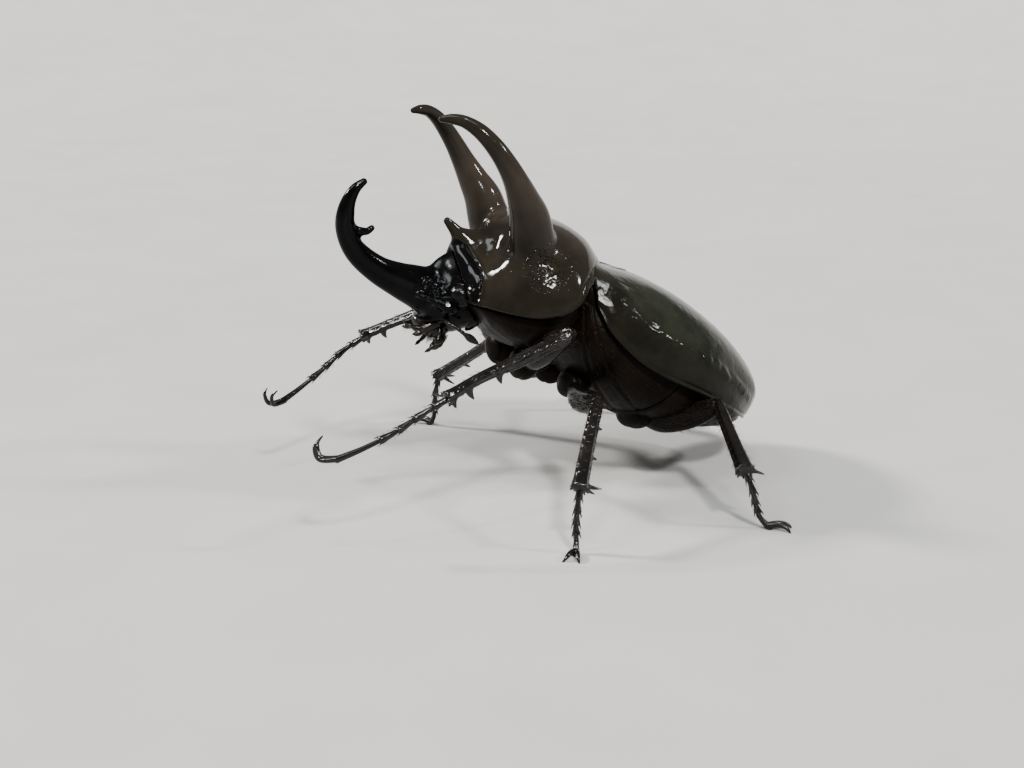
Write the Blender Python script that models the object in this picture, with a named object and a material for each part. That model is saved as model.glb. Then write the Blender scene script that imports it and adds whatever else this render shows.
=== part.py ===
# Atlas beetle, a male at life size, as a still model in the stance of a beetle that straddles something.
# Metres, +Z up. It faces -Y and +X is its left. Sizes below are in millimetres, as (side, ahead, up)
# from the waist, the point on its back where the pronotum meets the wing cases.

import math

import bmesh
import bpy
from mathutils import Vector

MM = 0.001
GAP = 0.3  # between neighbours that touch

# Stance
WAIST_AHEAD = -15.0  # the waist is this far ahead of the middle of the model's box
WAIST_HEIGHT = 44.0  # above the floor
PROTHORAX_PITCH = 25.0  # degrees, head end up
HIND_PITCH = 41.0

# Wing cases and hind body, in the hind frame: crown (ahead, up), margin (side, ahead, up), keel (ahead, up)
HIND_STATIONS = (
    (0.3, -0.3, 18.4, 2.2, -8.6, 6.0, -13.5),
    (-2.5, 1.1, 20.6, -1.0, -10.4, 3.0, -16.3),
    (-6.5, 2.7, 22.2, -5.5, -11.5, -1.0, -18.9),
    (-12.0, 4.3, 23.3, -11.0, -11.7, -8.0, -21.3),
    (-18.0, 5.3, 23.5, -17.0, -10.7, -16.0, -22.0),
    (-25.0, 5.7, 22.6, -23.0, -9.2, -22.0, -21.2),
    (-32.0, 5.4, 20.4, -29.5, -7.8, -28.0, -18.8),
    (-38.5, 4.4, 16.6, -36.0, -6.7, -34.0, -15.6),
    (-43.5, 2.9, 11.8, -41.5, -6.0, -40.0, -12.0),
    (-46.5, 0.9, 7.0, -45.3, -5.4, -44.5, -8.8),
    (-48.2, -2.2, 2.6, -47.7, -5.0, -47.0, -6.3),
)
NECK_STATION = (2.8, -2.2, 15.5, 7.0, -9.4, 9.5, -12.6)  # the hind body runs on ahead of the wing cases
SHELL = 1.3  # thickness of a wing case
SHOULDER_SWEEP = 4.2  # how far each wing case's front edge bows ahead
WAIST_OF_BELLY = 4.6  # station where the thorax meets the abdomen
BELLY_PLATES = 5
BELLY_STEP = 0.5
HIND_FULLNESS = 0.9

# Pronotum, in the prothorax frame: crown (ahead, up), margin (side, ahead, up), keel (ahead, up)
PRONOTUM_STATIONS = (
    (0.0, 0.0, 20.0, 8.3, -7.5, 2.0, -12.5),
    (1.7, 1.3, 20.8, 9.6, -9.3, 4.5, -16.0),
    (6.0, 3.7, 21.0, 11.5, -11.2, 7.5, -19.6),
    (12.0, 4.5, 20.6, 14.0, -12.8, 11.0, -21.6),
    (18.0, 3.4, 19.6, 16.8, -13.9, 15.0, -21.8),
    (23.0, 0.2, 17.8, 19.6, -14.7, 19.0, -20.4),
    (26.7, -3.6, 14.6, 22.2, -15.4, 22.0, -18.6),
    (29.0, -6.6, 10.8, 24.6, -16.0, 25.0, -17.2),
)
RIM = 0.6  # half the thickness of the pronotum's edge
RIM_OVERHANG = 2.2  # the underside is this much narrower
PRONOTUM_FULLNESS = 0.95
HORN_SHOULDER = (12.4, 20.5, -0.5)  # the pronotum swells here into the root of a horn
HORN_SHOULDER_RISE = 2.0
HORN_SHOULDER_REACH = 4.5
FRONT_HOLLOW = (6.5, 25.5, -5.5)  # and is hollow here, between the horns
FRONT_HOLLOW_DEPTH = 1.4
FRONT_HOLLOW_REACH = 3.6

# Horns: (side, ahead, up, half width, half depth) from root to tip
SIDE_HORN = (
    (11.6, 16.0, -6.0, 4.7, 4.6),
    (12.1, 19.4, -1.5, 4.4, 4.5),
    (13.3, 22.5, 2.6, 3.7, 3.9),
    (14.5, 25.6, 5.3, 3.0, 3.1),
    (15.2, 28.8, 7.9, 2.4, 2.4),
    (15.0, 31.9, 10.2, 2.0, 2.0),
    (14.3, 35.0, 12.1, 1.7, 1.75),
    (13.0, 38.1, 13.5, 1.45, 1.5),
    (11.4, 40.9, 14.0, 1.2, 1.2),
    (10.0, 43.0, 13.8, 0.85, 0.9),
    (9.0, 45.0, 12.9, 0.3, 0.3),
)
MIDDLE_HORN = (
    (0.0, 25.3, -9.5, 3.4, 3.2),
    (0.0, 28.0, -6.8, 2.2, 2.1),
    (0.0, 30.3, -5.1, 1.2, 1.2),
    (0.0, 32.0, -4.3, 0.8, 0.8),
    (0.0, 33.3, -3.8, 0.35, 0.35),
)

# Head and its horn, level with the floor: the same five numbers, from the neck forwards
HEAD = (
    (0.0, 23.5, -4.0, 5.4, 5.4),
    (0.0, 27.0, -3.9, 6.4, 6.8),
    (0.0, 30.0, -3.9, 7.0, 7.3),
    (0.0, 33.0, -4.8, 7.0, 7.0),
    (0.0, 35.6, -6.0, 5.7, 5.9),
    (0.0, 37.2, -7.3, 4.0, 4.0),
)
HEAD_HORN = (
    (0.0, 31.5, -4.2, 3.6, 4.6),
    (0.0, 35.2, -3.1, 3.6, 4.6),
    (0.0, 38.2, -1.6, 3.1, 4.0),
    (0.0, 41.5, -0.1, 2.6, 3.35),
    (0.0, 45.2, 1.6, 2.2, 2.75),
    (0.0, 48.6, 4.3, 2.0, 2.35),
    (0.0, 50.5, 6.9, 1.9, 2.1),
    (0.0, 51.4, 10.0, 1.8, 1.95),
    (0.0, 51.3, 12.6, 1.6, 1.75),
    (0.0, 50.6, 15.0, 1.25, 1.35),
    (0.0, 49.2, 17.1, 0.8, 0.85),
    (0.0, 47.1, 18.6, 0.3, 0.3),
)
HORN_TOOTH = ((0.0, 50.6, 9.4), (0.0, 47.4, 8.9), (0.0, 45.9, 9.8))
HORN_TOOTH_RADII = (1.5, 0.8, 0.3)
EYE_CENTRE = (5.9, 30.4, -4.4)
EYE_RADIUS = 2.5
CANTHUS = ((5.0, 32.6, -5.4), (7.3, 33.3, -5.6), (8.1, 32.6, -5.8))  # the blade in front of each eye
CANTHUS_RADII = (1.6, 1.1, 0.35)

ANTENNA = ((5.0, 33.3, -8.2, 0.7, 0.7), (7.2, 33.9, -9.4, 0.45, 0.45), (8.6, 33.0, -11.2, 0.4, 0.4),
           (8.8, 31.8, -12.6, 0.45, 0.45))
ANTENNA_CLUB = ((8.8, 32.0, -12.3), (8.5, 30.2, -14.2))
JAW = ((2.3, 34.5, -9.0), (2.8, 37.6, -10.2), (1.6, 39.6, -9.6))
JAW_RADII = (1.5, 1.1, 0.35)
LONG_PALP = ((2.8, 33.8, -10.4), (3.9, 35.0, -13.2), (3.3, 36.9, -14.6))
SHORT_PALP = ((1.3, 32.6, -10.8), (1.6, 33.2, -13.6), (1.3, 34.6, -14.8))
PALP_RADII = (0.65, 0.5, 0.35)
CHIN = (0.0, 33.4, -10.6)
CHIN_HALVES = (2.9, 2.6, 1.8)

SCUTELLUM_HALF_WIDTH = 3.6
SCUTELLUM_LENGTH = 6.2
SCUTELLUM_THICKNESS = 1.3
SCUTELLUM_CAMBER = 0.018
SCUTELLUM_LIFT = 0.35

# Legs, as on the left side. Femur and tibia rows: (side, ahead, up, half width, half depth)
# Teeth: (place along the tibia, length, lean towards the foot)
LEGS = {
    "front_left": {
        "coxa": (7.0, 18.0, -17.6),
        "coxa_halves": (4.2, 3.0, 3.2),
        "femur": ((8.6, 18.0, -16.9, 1.8, 2.0), (13.5, 17.8, -14.6, 2.2, 2.7), (19.5, 17.2, -11.4, 2.2, 2.6),
                  (24.2, 16.4, -8.9, 1.8, 2.0), (26.3, 16.0, -7.8, 1.1, 1.2)),
        "tibia": ((26.2, 16.2, -7.9, 1.1, 1.2), (27.4, 19.5, -9.0, 1.1, 1.35), (29.4, 27.5, -11.2, 1.15, 1.4),
                  (31.4, 35.5, -13.2, 1.15, 1.35), (33.0, 42.0, -15.7, 1.1, 1.3)),
        "tarsus": ((32.9, 41.4, -15.7), (32.8, 46.6, -18.3), (32.2, 51.4, -21.3), (31.2, 57.0, -24.0),
                   (30.0, 61.6, -25.9)),
        "claw": ((30.0, 61.2, -25.8), (28.9, 64.2, -25.7), (28.2, 64.8, -23.6), (28.0, 63.9, -22.4)),
        "teeth": ((0.62, 1.5, -0.2), (0.83, 1.9, -1.0), (0.94, 1.5, -0.4)),
        "tooth_way": (0.25, 0.0, -1.0),
        "tooth_radius": 0.95,
        "spurs": ((-0.75, 0.6, -0.1),),
        "across": (1, 0, 0),
    },
    "front_right": {
        "coxa": (7.0, 18.0, -17.6),
        "coxa_halves": (4.2, 3.0, 3.2),
        "femur": ((8.6, 18.0, -16.9, 1.8, 2.0), (13.2, 17.7, -15.0, 2.2, 2.7), (18.4, 16.9, -12.4, 2.2, 2.6),
                  (22.6, 15.8, -10.2, 1.8, 2.0), (24.6, 15.3, -9.2, 1.1, 1.2)),
        "tibia": ((24.5, 15.5, -9.3, 1.1, 1.2), (24.7, 18.9, -10.2, 1.1, 1.35), (24.6, 27.0, -12.4, 1.15, 1.4),
                  (24.7, 35.3, -14.9, 1.15, 1.35), (25.0, 42.0, -17.3, 1.1, 1.3)),
        "tarsus": ((25.0, 41.4, -17.4), (24.9, 46.4, -20.2), (24.2, 51.0, -23.6), (22.8, 56.2, -26.8),
                   (21.4, 60.4, -28.9)),
        "claw": ((21.5, 60.0, -28.8), (20.2, 62.8, -28.9), (19.4, 63.6, -26.9), (19.2, 62.8, -25.6)),
        "teeth": ((0.62, 1.5, -0.2), (0.83, 1.9, -1.0), (0.94, 1.5, -0.4)),
        "tooth_way": (0.25, 0.0, -1.0),
        "tooth_radius": 0.95,
        "spurs": ((-0.75, 0.6, -0.1),),
        "across": (1, 0, 0),
    },
    "middle": {
        "coxa": (7.0, 7.5, -22.6),
        "coxa_halves": (4.6, 3.2, 3.0),
        "femur": ((9.0, 8.0, -23.4, 1.9, 2.2), (13.5, 8.9, -24.3, 2.3, 3.1), (19.0, 9.8, -23.4, 2.2, 2.9),
                  (24.6, 10.5, -21.6, 1.7, 2.1), (26.9, 10.8, -20.8, 1.1, 1.3)),
        "tibia": ((26.8, 10.8, -20.6, 1.2, 1.1), (29.6, 12.4, -22.5, 1.3, 1.1), (35.0, 16.0, -26.8, 1.5, 1.15),
                  (42.0, 20.4, -32.0, 1.75, 1.25)),
        "tarsus": ((41.8, 20.2, -31.6), (42.3, 20.9, -35.5), (42.4, 21.2, -39.0), (42.8, 21.3, -41.8),
                   (44.2, 22.0, -43.8)),
        "claw": ((43.6, 21.7, -43.3), (45.4, 22.8, -42.9), (46.6, 23.6, -43.3), (47.0, 24.0, -44.1)),
        "teeth": ((0.45, 1.3, 0.8), (0.72, 1.5, 0.9)),
        "tooth_radius": 0.7,
        "tooth_way": (-0.2, -0.9, -0.4),
        "spurs": ((0.2, -0.9, -0.25), (-0.2, -0.75, -0.6)),
        "across": (0, 1, 0),
    },
    "hind": {
        "coxa": (8.8, -5.2, -29.3),
        "coxa_halves": (6.4, 3.4, 3.2),
        "femur": ((10.2, -6.0, -29.2, 2.0, 2.4), (13.8, -9.0, -29.4, 2.5, 3.3), (18.2, -12.9, -28.0, 2.3, 3.0),
                  (21.6, -15.6, -26.3, 1.8, 2.1), (23.0, -16.6, -25.4, 1.1, 1.3)),
        "tibia": ((22.9, -16.6, -25.2, 1.2, 1.1), (26.6, -15.9, -26.8, 1.4, 1.1), (33.5, -14.6, -29.8, 1.8, 1.2),
                  (41.0, -13.2, -32.8, 2.3, 1.35)),
        "tarsus": ((40.6, -13.2, -32.5), (41.9, -14.2, -36.0), (42.3, -15.0, -39.4), (42.8, -15.8, -41.9),
                   (43.8, -17.4, -43.75)),
        "claw": ((43.4, -16.9, -43.3), (44.6, -18.8, -42.9), (45.5, -20.1, -43.3), (45.8, -20.7, -44.1)),
        "teeth": ((0.4, 1.3, 0.8), (0.7, 1.6, 1.0)),
        "tooth_radius": 0.75,
        "tooth_way": (-0.2, -0.9, -0.4),
        "spurs": ((0.75, 0.6, -0.3), (0.6, -0.75, -0.3)),
        "across": (0, 1, 0),
    },
}
TOE_JOINTS = (0.0, 0.17, 0.33, 0.48, 0.63, 1.0)  # where the five tarsal segments meet
TOE_NARROW = 0.5
TOE_WIDE = 0.85
CLAW_RADII = (0.6, 0.5, 0.36, 0.18)
CLAW_SPREAD = 0.9
SPUR_LENGTH = 2.6
SPUR_RADIUS = 0.6
SPUR_SUNK = 0.8
SPUR_ASIDE = 0.6  # a spur's root is this far from the middle of the tibia
SPIKE_TIP = 0.15

COLOURS = {
    "cuticle": ((0.012, 0.010, 0.009), 0.25),
    "pronotum": ((0.022, 0.014, 0.010), 0.18),
    "elytra": ((0.014, 0.016, 0.011), 0.22),
    "underside": ((0.020, 0.011, 0.008), 0.35),
    "eye": ((0.008, 0.008, 0.008), 0.08),
    "mouth": ((0.030, 0.016, 0.010), 0.45),
}


def clear_scene():
    for obj in list(bpy.data.objects):
        bpy.data.objects.remove(obj)


def make_collection(name):
    collection = bpy.data.collections.new(name)
    bpy.context.scene.collection.children.link(collection)
    return collection


def make_material(name):
    colour, roughness = COLOURS[name]
    material = bpy.data.materials.new(name)
    material.use_nodes = True
    shader = material.node_tree.nodes["Principled BSDF"]
    shader.inputs["Base Color"].default_value = (*colour, 1.0)
    shader.inputs["Roughness"].default_value = roughness
    shader.inputs["Metallic"].default_value = 0.0
    return material


def make_frame(name, pitch):
    # An empty at the waist, turned so that its -Y points ahead along the body part.
    empty = bpy.data.objects.new(name, None)
    PARTS.objects.link(empty)
    empty.location = (0, -WAIST_AHEAD * MM, WAIST_HEIGHT * MM)
    empty.rotation_euler = (-math.radians(pitch), 0, 0)
    return empty


def local(point):
    side, ahead, up = point
    return Vector((side, -ahead, up)) * MM


def through(rows, count):
    # A smooth curve through rows of numbers, read at evenly spread places.
    last = len(rows) - 1
    found = []
    for i in range(count):
        place = last * i / (count - 1)
        k = min(int(place), last - 1)
        t = place - k
        before, a, b, after = (rows[min(max(k + d, 0), last)] for d in (-1, 0, 1, 2))
        found.append(tuple(
            0.5 * (2 * q + (r - p) * t + (2 * p - 5 * q + 4 * r - s) * t * t + (3 * q - p - 3 * r + s) * t ** 3)
            for p, q, r, s in zip(before, a, b, after)))
    return found


def at(rows, place):
    # The same curve at one place, counted in rows.
    last = len(rows) - 1
    k = min(max(int(math.floor(place)), 0), last - 1)
    t = place - k
    before, a, b, after = (rows[min(max(k + d, 0), last)] for d in (-1, 0, 1, 2))
    return tuple(
        0.5 * (2 * q + (r - p) * t + (2 * p - 5 * q + 4 * r - s) * t * t + (3 * q - p - 3 * r + s) * t ** 3)
        for p, q, r, s in zip(before, a, b, after))


def make_object(name, rings, frame, material, cap="fan"):
    # A loft through closed rings of equal length, capped by a fan or, for a thin crescent, by a strip.
    mesh = bmesh.new()
    rows = [[mesh.verts.new(local(point)) for point in ring] for ring in rings]
    size = len(rings[0])
    for low, high in zip(rows, rows[1:]):
        for i in range(size):
            j = (i + 1) % size
            mesh.faces.new((low[i], low[j], high[j], high[i]))
    for row in (rows[0], rows[-1]):
        if cap == "fan":
            middle = mesh.verts.new(sum((v.co for v in row), Vector()) / size)
            for i in range(size):
                mesh.faces.new((row[i], row[(i + 1) % size], middle))
        else:
            for i in range(size // 2 - 1):
                mesh.faces.new((row[i], row[i + 1], row[size - 2 - i], row[size - 1 - i]))
    bmesh.ops.triangulate(mesh, faces=mesh.faces)
    bmesh.ops.recalc_face_normals(mesh, faces=mesh.faces)
    data = bpy.data.meshes.new(name)
    mesh.to_mesh(data)
    mesh.free()
    data.materials.append(material)
    obj = bpy.data.objects.new(name, data)
    PARTS.objects.link(obj)
    obj.parent = frame
    return obj


def sweep(name, rows, frame, material, hand=1, sides=10, across=(1, 0, 0)):
    # A tube of oval section along rows of (side, ahead, up, half width, half depth).
    points = [Vector(row[:3]) for row in rows]
    rings = []
    for i, row in enumerate(rows):
        way = (points[min(i + 1, len(rows) - 1)] - points[max(i - 1, 0)]).normalized()
        wide = Vector(across)
        wide = (wide - way * wide.dot(way)).normalized()
        deep = way.cross(wide)
        ring = []
        for k in range(sides):
            turn = 2 * math.pi * k / sides
            point = points[i] + wide * (row[3] * math.cos(turn)) + deep * (row[4] * math.sin(turn))
            ring.append((point.x * hand, point.y, point.z))
        rings.append(ring)
    return make_object(name, rings, frame, material)


def rod(name, points, radii, frame, material, hand=1, sides=6, count=5, across=(1, 0, 0)):
    rows = through([(*p, r, r) for p, r in zip(points, radii)], count)
    return sweep(name, rows, frame, material, hand, sides, across)


def spike(root, tip, radius, frame, material, hand):
    # A pointed cone, its root sunk in what it grows from.
    rows = ((*root, radius, radius), (*tip, SPIKE_TIP, SPIKE_TIP))
    return sweep("spike", rows, frame, material, hand, 5, (0.3, 0.9, 0.2))


def ball(name, centre, halves, frame, material, hand=1, across=10, rings=7):
    side, ahead, up = centre
    wide, long, deep = halves
    rows = []
    for i in range(1, rings + 1):
        turn = math.pi * i / (rings + 1)
        ring = []
        for k in range(across):
            round_turn = 2 * math.pi * k / across
            ring.append(((side + wide * math.sin(turn) * math.cos(round_turn)) * hand,
                         ahead - long * math.cos(turn), up + deep * math.sin(turn) * math.sin(round_turn)))
        rows.append(ring)
    return make_object(name, rows, frame, material)


def applied(obj):
    # The object's mesh with its modifiers applied, and only its largest closed surface kept.
    graph = bpy.context.evaluated_depsgraph_get()
    data = bpy.data.meshes.new_from_object(obj.evaluated_get(graph))
    obj.modifiers.clear()
    obj.data = data
    keep_largest(obj)


def keep_largest(obj):
    mesh = bmesh.new()
    mesh.from_mesh(obj.data)
    seen = set()
    bodies = []
    for start in mesh.verts:
        if start in seen:
            continue
        body, open_list = {start}, [start]
        while open_list:
            for edge in open_list.pop().link_edges:
                for vert in edge.verts:
                    if vert not in body:
                        body.add(vert)
                        open_list.append(vert)
        seen |= body
        bodies.append(body)
    largest = max(bodies, key=size_of)
    bmesh.ops.delete(mesh, geom=[v for v in mesh.verts if v not in largest])
    bmesh.ops.triangulate(mesh, faces=mesh.faces)
    mesh.to_mesh(obj.data)
    mesh.free()


def size_of(body):
    return math.prod(max(v.co[k] for v in body) - min(v.co[k] for v in body) + MM for k in range(3))


def cut_clear(obj, others, gap=GAP):
    # Cuts the object back to a gap from each of the others, which it grows from or rests against.
    for other in others:
        cutter = other.copy()
        cutter.data = other.data.copy()
        cutter.hide_render = True
        cutter.display_type = "WIRE"
        CUTTERS.objects.link(cutter)
        mesh = bmesh.new()
        mesh.from_mesh(cutter.data)
        mesh.normal_update()
        moved = [v.co + v.normal * gap * MM for v in mesh.verts]
        for vert, place in zip(mesh.verts, moved):
            vert.co = place
        mesh.to_mesh(cutter.data)
        mesh.free()
        cut = obj.modifiers.new("clear of " + other.name, "BOOLEAN")
        cut.operation = "DIFFERENCE"
        cut.object = cutter
        bpy.context.view_layer.update()
        applied(obj)
        bpy.data.objects.remove(cutter)


def fuse(obj, pieces):
    # Joins the pieces to the object in one union.
    group = bpy.data.collections.new("fuse " + obj.name)
    bpy.context.scene.collection.children.link(group)
    for piece in pieces:
        group.objects.link(piece)
    join = obj.modifiers.new("fuse", "BOOLEAN")
    join.operation = "UNION"
    join.operand_type = "COLLECTION"
    join.collection = group
    bpy.context.view_layer.update()
    applied(obj)
    for piece in pieces:
        bpy.data.objects.remove(piece)
    bpy.data.collections.remove(group)


def arch(crown, margin, turn, fullness, sweep_power=1.4):
    # A point of the back, from its crown (ahead, up) at turn 0 to its margin (side, ahead, up) at a right angle.
    side = margin[0] * abs(math.sin(turn)) ** fullness
    up = margin[2] + (crown[1] - margin[2]) * max(math.cos(turn), 0.0) ** fullness
    ahead = crown[0] + (margin[1] - crown[0]) * abs(math.sin(turn)) ** sweep_power
    return math.copysign(side, turn), ahead, up


def bump(point, centre, reach):
    # How close a point, or its mirror image, is to a centre: 1 there and 0 far off.
    away = (abs(point[0]) - centre[0]) ** 2 + (point[1] - centre[1]) ** 2 + (point[2] - centre[2]) ** 2
    return math.exp(-away / (2 * reach * reach))


def pronotum_point(station, turn):
    crown, margin = station[:2], station[2:5]
    side, ahead, up = arch(crown, margin, turn, PRONOTUM_FULLNESS)
    swell = HORN_SHOULDER_RISE * bump((side, ahead, up), HORN_SHOULDER, HORN_SHOULDER_REACH)
    hollow = FRONT_HOLLOW_DEPTH * bump((side, ahead, up), FRONT_HOLLOW, FRONT_HOLLOW_REACH)
    return side, ahead + 0.4 * swell - 0.7 * hollow, up + swell - 0.7 * hollow


def make_pronotum(frame, material):
    count, across = 12, 18
    rings = []
    for i in range(count):
        station = at(PRONOTUM_STATIONS, (len(PRONOTUM_STATIONS) - 1) * i / (count - 1))
        margin = station[2:5]
        top = [pronotum_point(station, math.radians(-90 + 180 * k / across)) for k in range(across + 1)]
        under = [(margin[0] * math.cos(math.radians(180 * k / 8)), margin[1] + (top[0][1] - margin[1]),
                  margin[2] - RIM) for k in range(9)]
        rings.append(top + under)
    return make_object("pronotum", rings, frame, material)


def make_prosternum(frame, material):
    count, across = 8, 12
    rings = []
    for i in range(count):
        station = at(PRONOTUM_STATIONS, 0.3 + (len(PRONOTUM_STATIONS) - 1.3) * i / (count - 1))
        side, ahead, up = station[2:5]
        side -= RIM_OVERHANG
        top = up - RIM - GAP
        flat = [(side * (1 - 2 * k / 6), ahead, top) for k in range(7)]
        below = []
        for k in range(1, across):
            turn = math.pi * k / across
            deep = math.sin(turn)
            below.append((-side * math.cos(turn), ahead + (station[5] - ahead) * deep,
                          top + (station[6] - top) * deep ** 0.8))
        rings.append(flat + below)
    return make_object("prosternum", rings, frame, material)


def hind_station(place):
    if place < 0:
        return tuple(a + (b - a) * -place for a, b in zip(HIND_STATIONS[0], NECK_STATION))
    return at(HIND_STATIONS, place)


def back_point(station, place, turn, depth=0.0):
    # A point of the wing cases' surface, or of one that lies inside it by the depth.
    crown_ahead, crown_up, side, ahead, up = station[:5]
    point = arch((crown_ahead, crown_up - depth), (max(side - depth, 0.2), ahead, up), turn, HIND_FULLNESS)
    bow = SHOULDER_SWEEP * math.sin(2 * abs(turn)) * math.exp(-max(place, 0.0) * 1.3)
    return point[0], point[1] + bow, point[2]


def make_elytron(name, hand, frame, material):
    count, across = 15, 10
    last = len(HIND_STATIONS) - 1
    rings = []
    for i in range(count):
        place = last * i / (count - 1)
        station = at(HIND_STATIONS, place)
        shell = min(SHELL, 0.45 * station[2], 0.6 * (station[1] - station[4]))
        outer, inner = [], []
        for k in range(across + 1):
            turn = math.radians(90 * k / across)
            for found, depth in ((outer, 0.0), (inner, shell)):
                side, ahead, up = back_point(station, place, turn, depth)
                found.append(((side + GAP / 2) * hand, ahead, up))
        rings.append(outer + inner[::-1])
    return make_object(name, rings, frame, material, "strip")


def make_core(name, stops, frame, material):
    # The body under the wing cases: its back follows their inside, its belly the keel. A stop is a
    # (place, step) pair, and the step lowers the belly there.
    across = 12
    rings = []
    for place, step in stops:
        station = hind_station(place)
        inset = min(SHELL, 0.45 * station[2], 0.6 * (station[1] - station[4])) + GAP
        top = [back_point(station, place, math.radians(-90 + 180 * k / across), inset) for k in range(across + 1)]
        side, ahead, up = max(station[2] - inset, 0.3), station[3], station[4]
        below = []
        for k in range(1, across):
            turn = math.pi * k / across
            deep = math.sin(turn)
            below.append((side * math.cos(turn), ahead + (station[5] - ahead) * deep,
                          up + (station[6] - step - up) * deep ** 0.85))
        rings.append(top + below)
    return make_object(name, rings, frame, material)


def make_thorax(frame, material):
    count = 10
    first, last = -1.0, WAIST_OF_BELLY - 0.025
    return make_core("thorax", [(first + (last - first) * i / (count - 1), 0.0) for i in range(count)],
                     frame, material)


def make_abdomen(frame, material):
    # Each plate of the belly ends in a small step down to the next.
    first, last = WAIST_OF_BELLY + 0.025, len(HIND_STATIONS) - 1.1
    stops = []
    for i in range(BELLY_PLATES):
        for share, step in ((0.06, 0.0), (1.0, BELLY_STEP)):
            stops.append((first + (last - first) * (i + share) / BELLY_PLATES, step))
    stops[0] = (first, BELLY_STEP)
    return make_core("abdomen", stops, frame, material)


def make_scutellum(frame, material):
    rings = []
    for i in range(6):
        along = i / 5
        ahead = 1.2 - (SCUTELLUM_LENGTH + 1.2) * along
        half = SCUTELLUM_HALF_WIDTH * math.sqrt(max(1 - along ** 1.6, 0.01))
        place = max(-ahead / 3.0, -0.2)
        ring = []
        for k in range(12):
            turn = 2 * math.pi * k / 12
            side = half * math.cos(turn)
            station = hind_station(place)
            lift = station[1] - SCUTELLUM_CAMBER * side * side + SCUTELLUM_LIFT
            ring.append((side, ahead, lift - SCUTELLUM_THICKNESS * (0.5 - 0.5 * math.sin(turn))))
        rings.append(ring)
    return make_object("scutellum", rings, frame, material)


def make_head(frame, material):
    head = sweep("head", through(HEAD, 8), frame, material, sides=16)
    blades = [rod("canthus", CANTHUS, CANTHUS_RADII, frame, material, hand, 6, 4, (0, 1, 0)) for hand in (1, -1)]
    fuse(head, blades)
    return head


def make_head_horn(frame, material):
    horn = sweep("head_horn", through(HEAD_HORN, 18), frame, material, sides=9)
    tooth = rod("tooth", HORN_TOOTH, HORN_TOOTH_RADII, frame, material, sides=6, count=4)
    fuse(horn, [tooth])
    return horn


def make_antenna(name, hand, frame, material):
    antenna = sweep(name, through(ANTENNA, 6), frame, material, hand, sides=5)
    start, end = ANTENNA_CLUB
    leaves = []
    for shift in (-0.7, 0.0, 0.7):
        points = (Vector(start) + Vector((shift * 0.3, 0, 0)), Vector(end) + Vector((shift, 0, 0)))
        middle = (points[0] + points[1]) / 2
        rows = ((*points[0], 0.3, 0.4), (*middle, 0.32, 0.75), (*points[1], 0.25, 0.35))
        leaves.append(sweep("leaf", rows, frame, material, hand, sides=5))
    fuse(antenna, leaves)
    return antenna


def make_mouthparts(frame, material):
    chin = ball("mouthparts", CHIN, CHIN_HALVES, frame, material, across=8, rings=4)
    pieces = []
    for hand in (1, -1):
        pieces.append(rod("jaw", JAW, JAW_RADII, frame, material, hand, 6, 4))
        pieces.append(rod("palp", LONG_PALP, PALP_RADII, frame, material, hand, 5, 3))
        pieces.append(rod("palp", SHORT_PALP, PALP_RADII, frame, material, hand, 5, 3))
    fuse(chin, pieces)
    return chin


def toe_radius(along):
    # Each tarsal segment widens towards its far end.
    for start, end in zip(TOE_JOINTS, TOE_JOINTS[1:]):
        if along <= end:
            return TOE_NARROW + (TOE_WIDE - TOE_NARROW) * (along - start) / (end - start)
    return TOE_WIDE


def make_tarsus(name, leg, hand, frame, material, tibia):
    path = leg["tarsus"]
    stops = []
    for start, end in zip(TOE_JOINTS, TOE_JOINTS[1:]):
        stops += [start + 0.02, end - 0.02]
    rows = []
    for stop in stops:
        radius = toe_radius(stop)
        rows.append((*at(path, stop * (len(path) - 1)), radius, radius))
    tarsus = sweep(name, rows, frame, material, hand, 6, leg["across"])
    cut_clear(tarsus, [tibia])
    claws = []
    along = Vector(leg["claw"][2]) - Vector(leg["claw"][0])
    apart = along.cross(Vector((0, 0, 1))).normalized() * CLAW_SPREAD
    for spread in (-1, 1):
        points = []
        for k, point in enumerate(leg["claw"]):
            points.append(Vector(point) + apart * spread * (k + 0.4) / 2)
        claws.append(rod("claw", points, CLAW_RADII, frame, material, hand, 5, 4, apart))
    fuse(tarsus, claws)
    return tarsus


def arm_tibia(tibia, leg, hand, frame, material):
    # Adds the teeth of the tibia's outer edge and the spurs of its end.
    pieces = []
    way = Vector(leg["tooth_way"]).normalized()
    end = Vector(leg["tibia"][-1][:3])
    ahead = (end - Vector(leg["tibia"][0][:3])).normalized()
    for place, length, lean in leg["teeth"]:
        row = at(leg["tibia"], place * (len(leg["tibia"]) - 1))
        root = Vector(row[:3])
        tip = root + way * (row[4] + length) + ahead * lean
        pieces.append(spike(root, tip, leg["tooth_radius"], frame, material, hand))
    for spur in leg["spurs"]:
        spur = Vector(spur).normalized()
        aside = (spur - ahead * spur.dot(ahead)).normalized()
        root = end - ahead * SPUR_SUNK + aside * SPUR_ASIDE
        pieces.append(spike(root, root + spur * (SPUR_LENGTH + SPUR_SUNK), SPUR_RADIUS, frame, material, hand))
    fuse(tibia, pieces)


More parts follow.
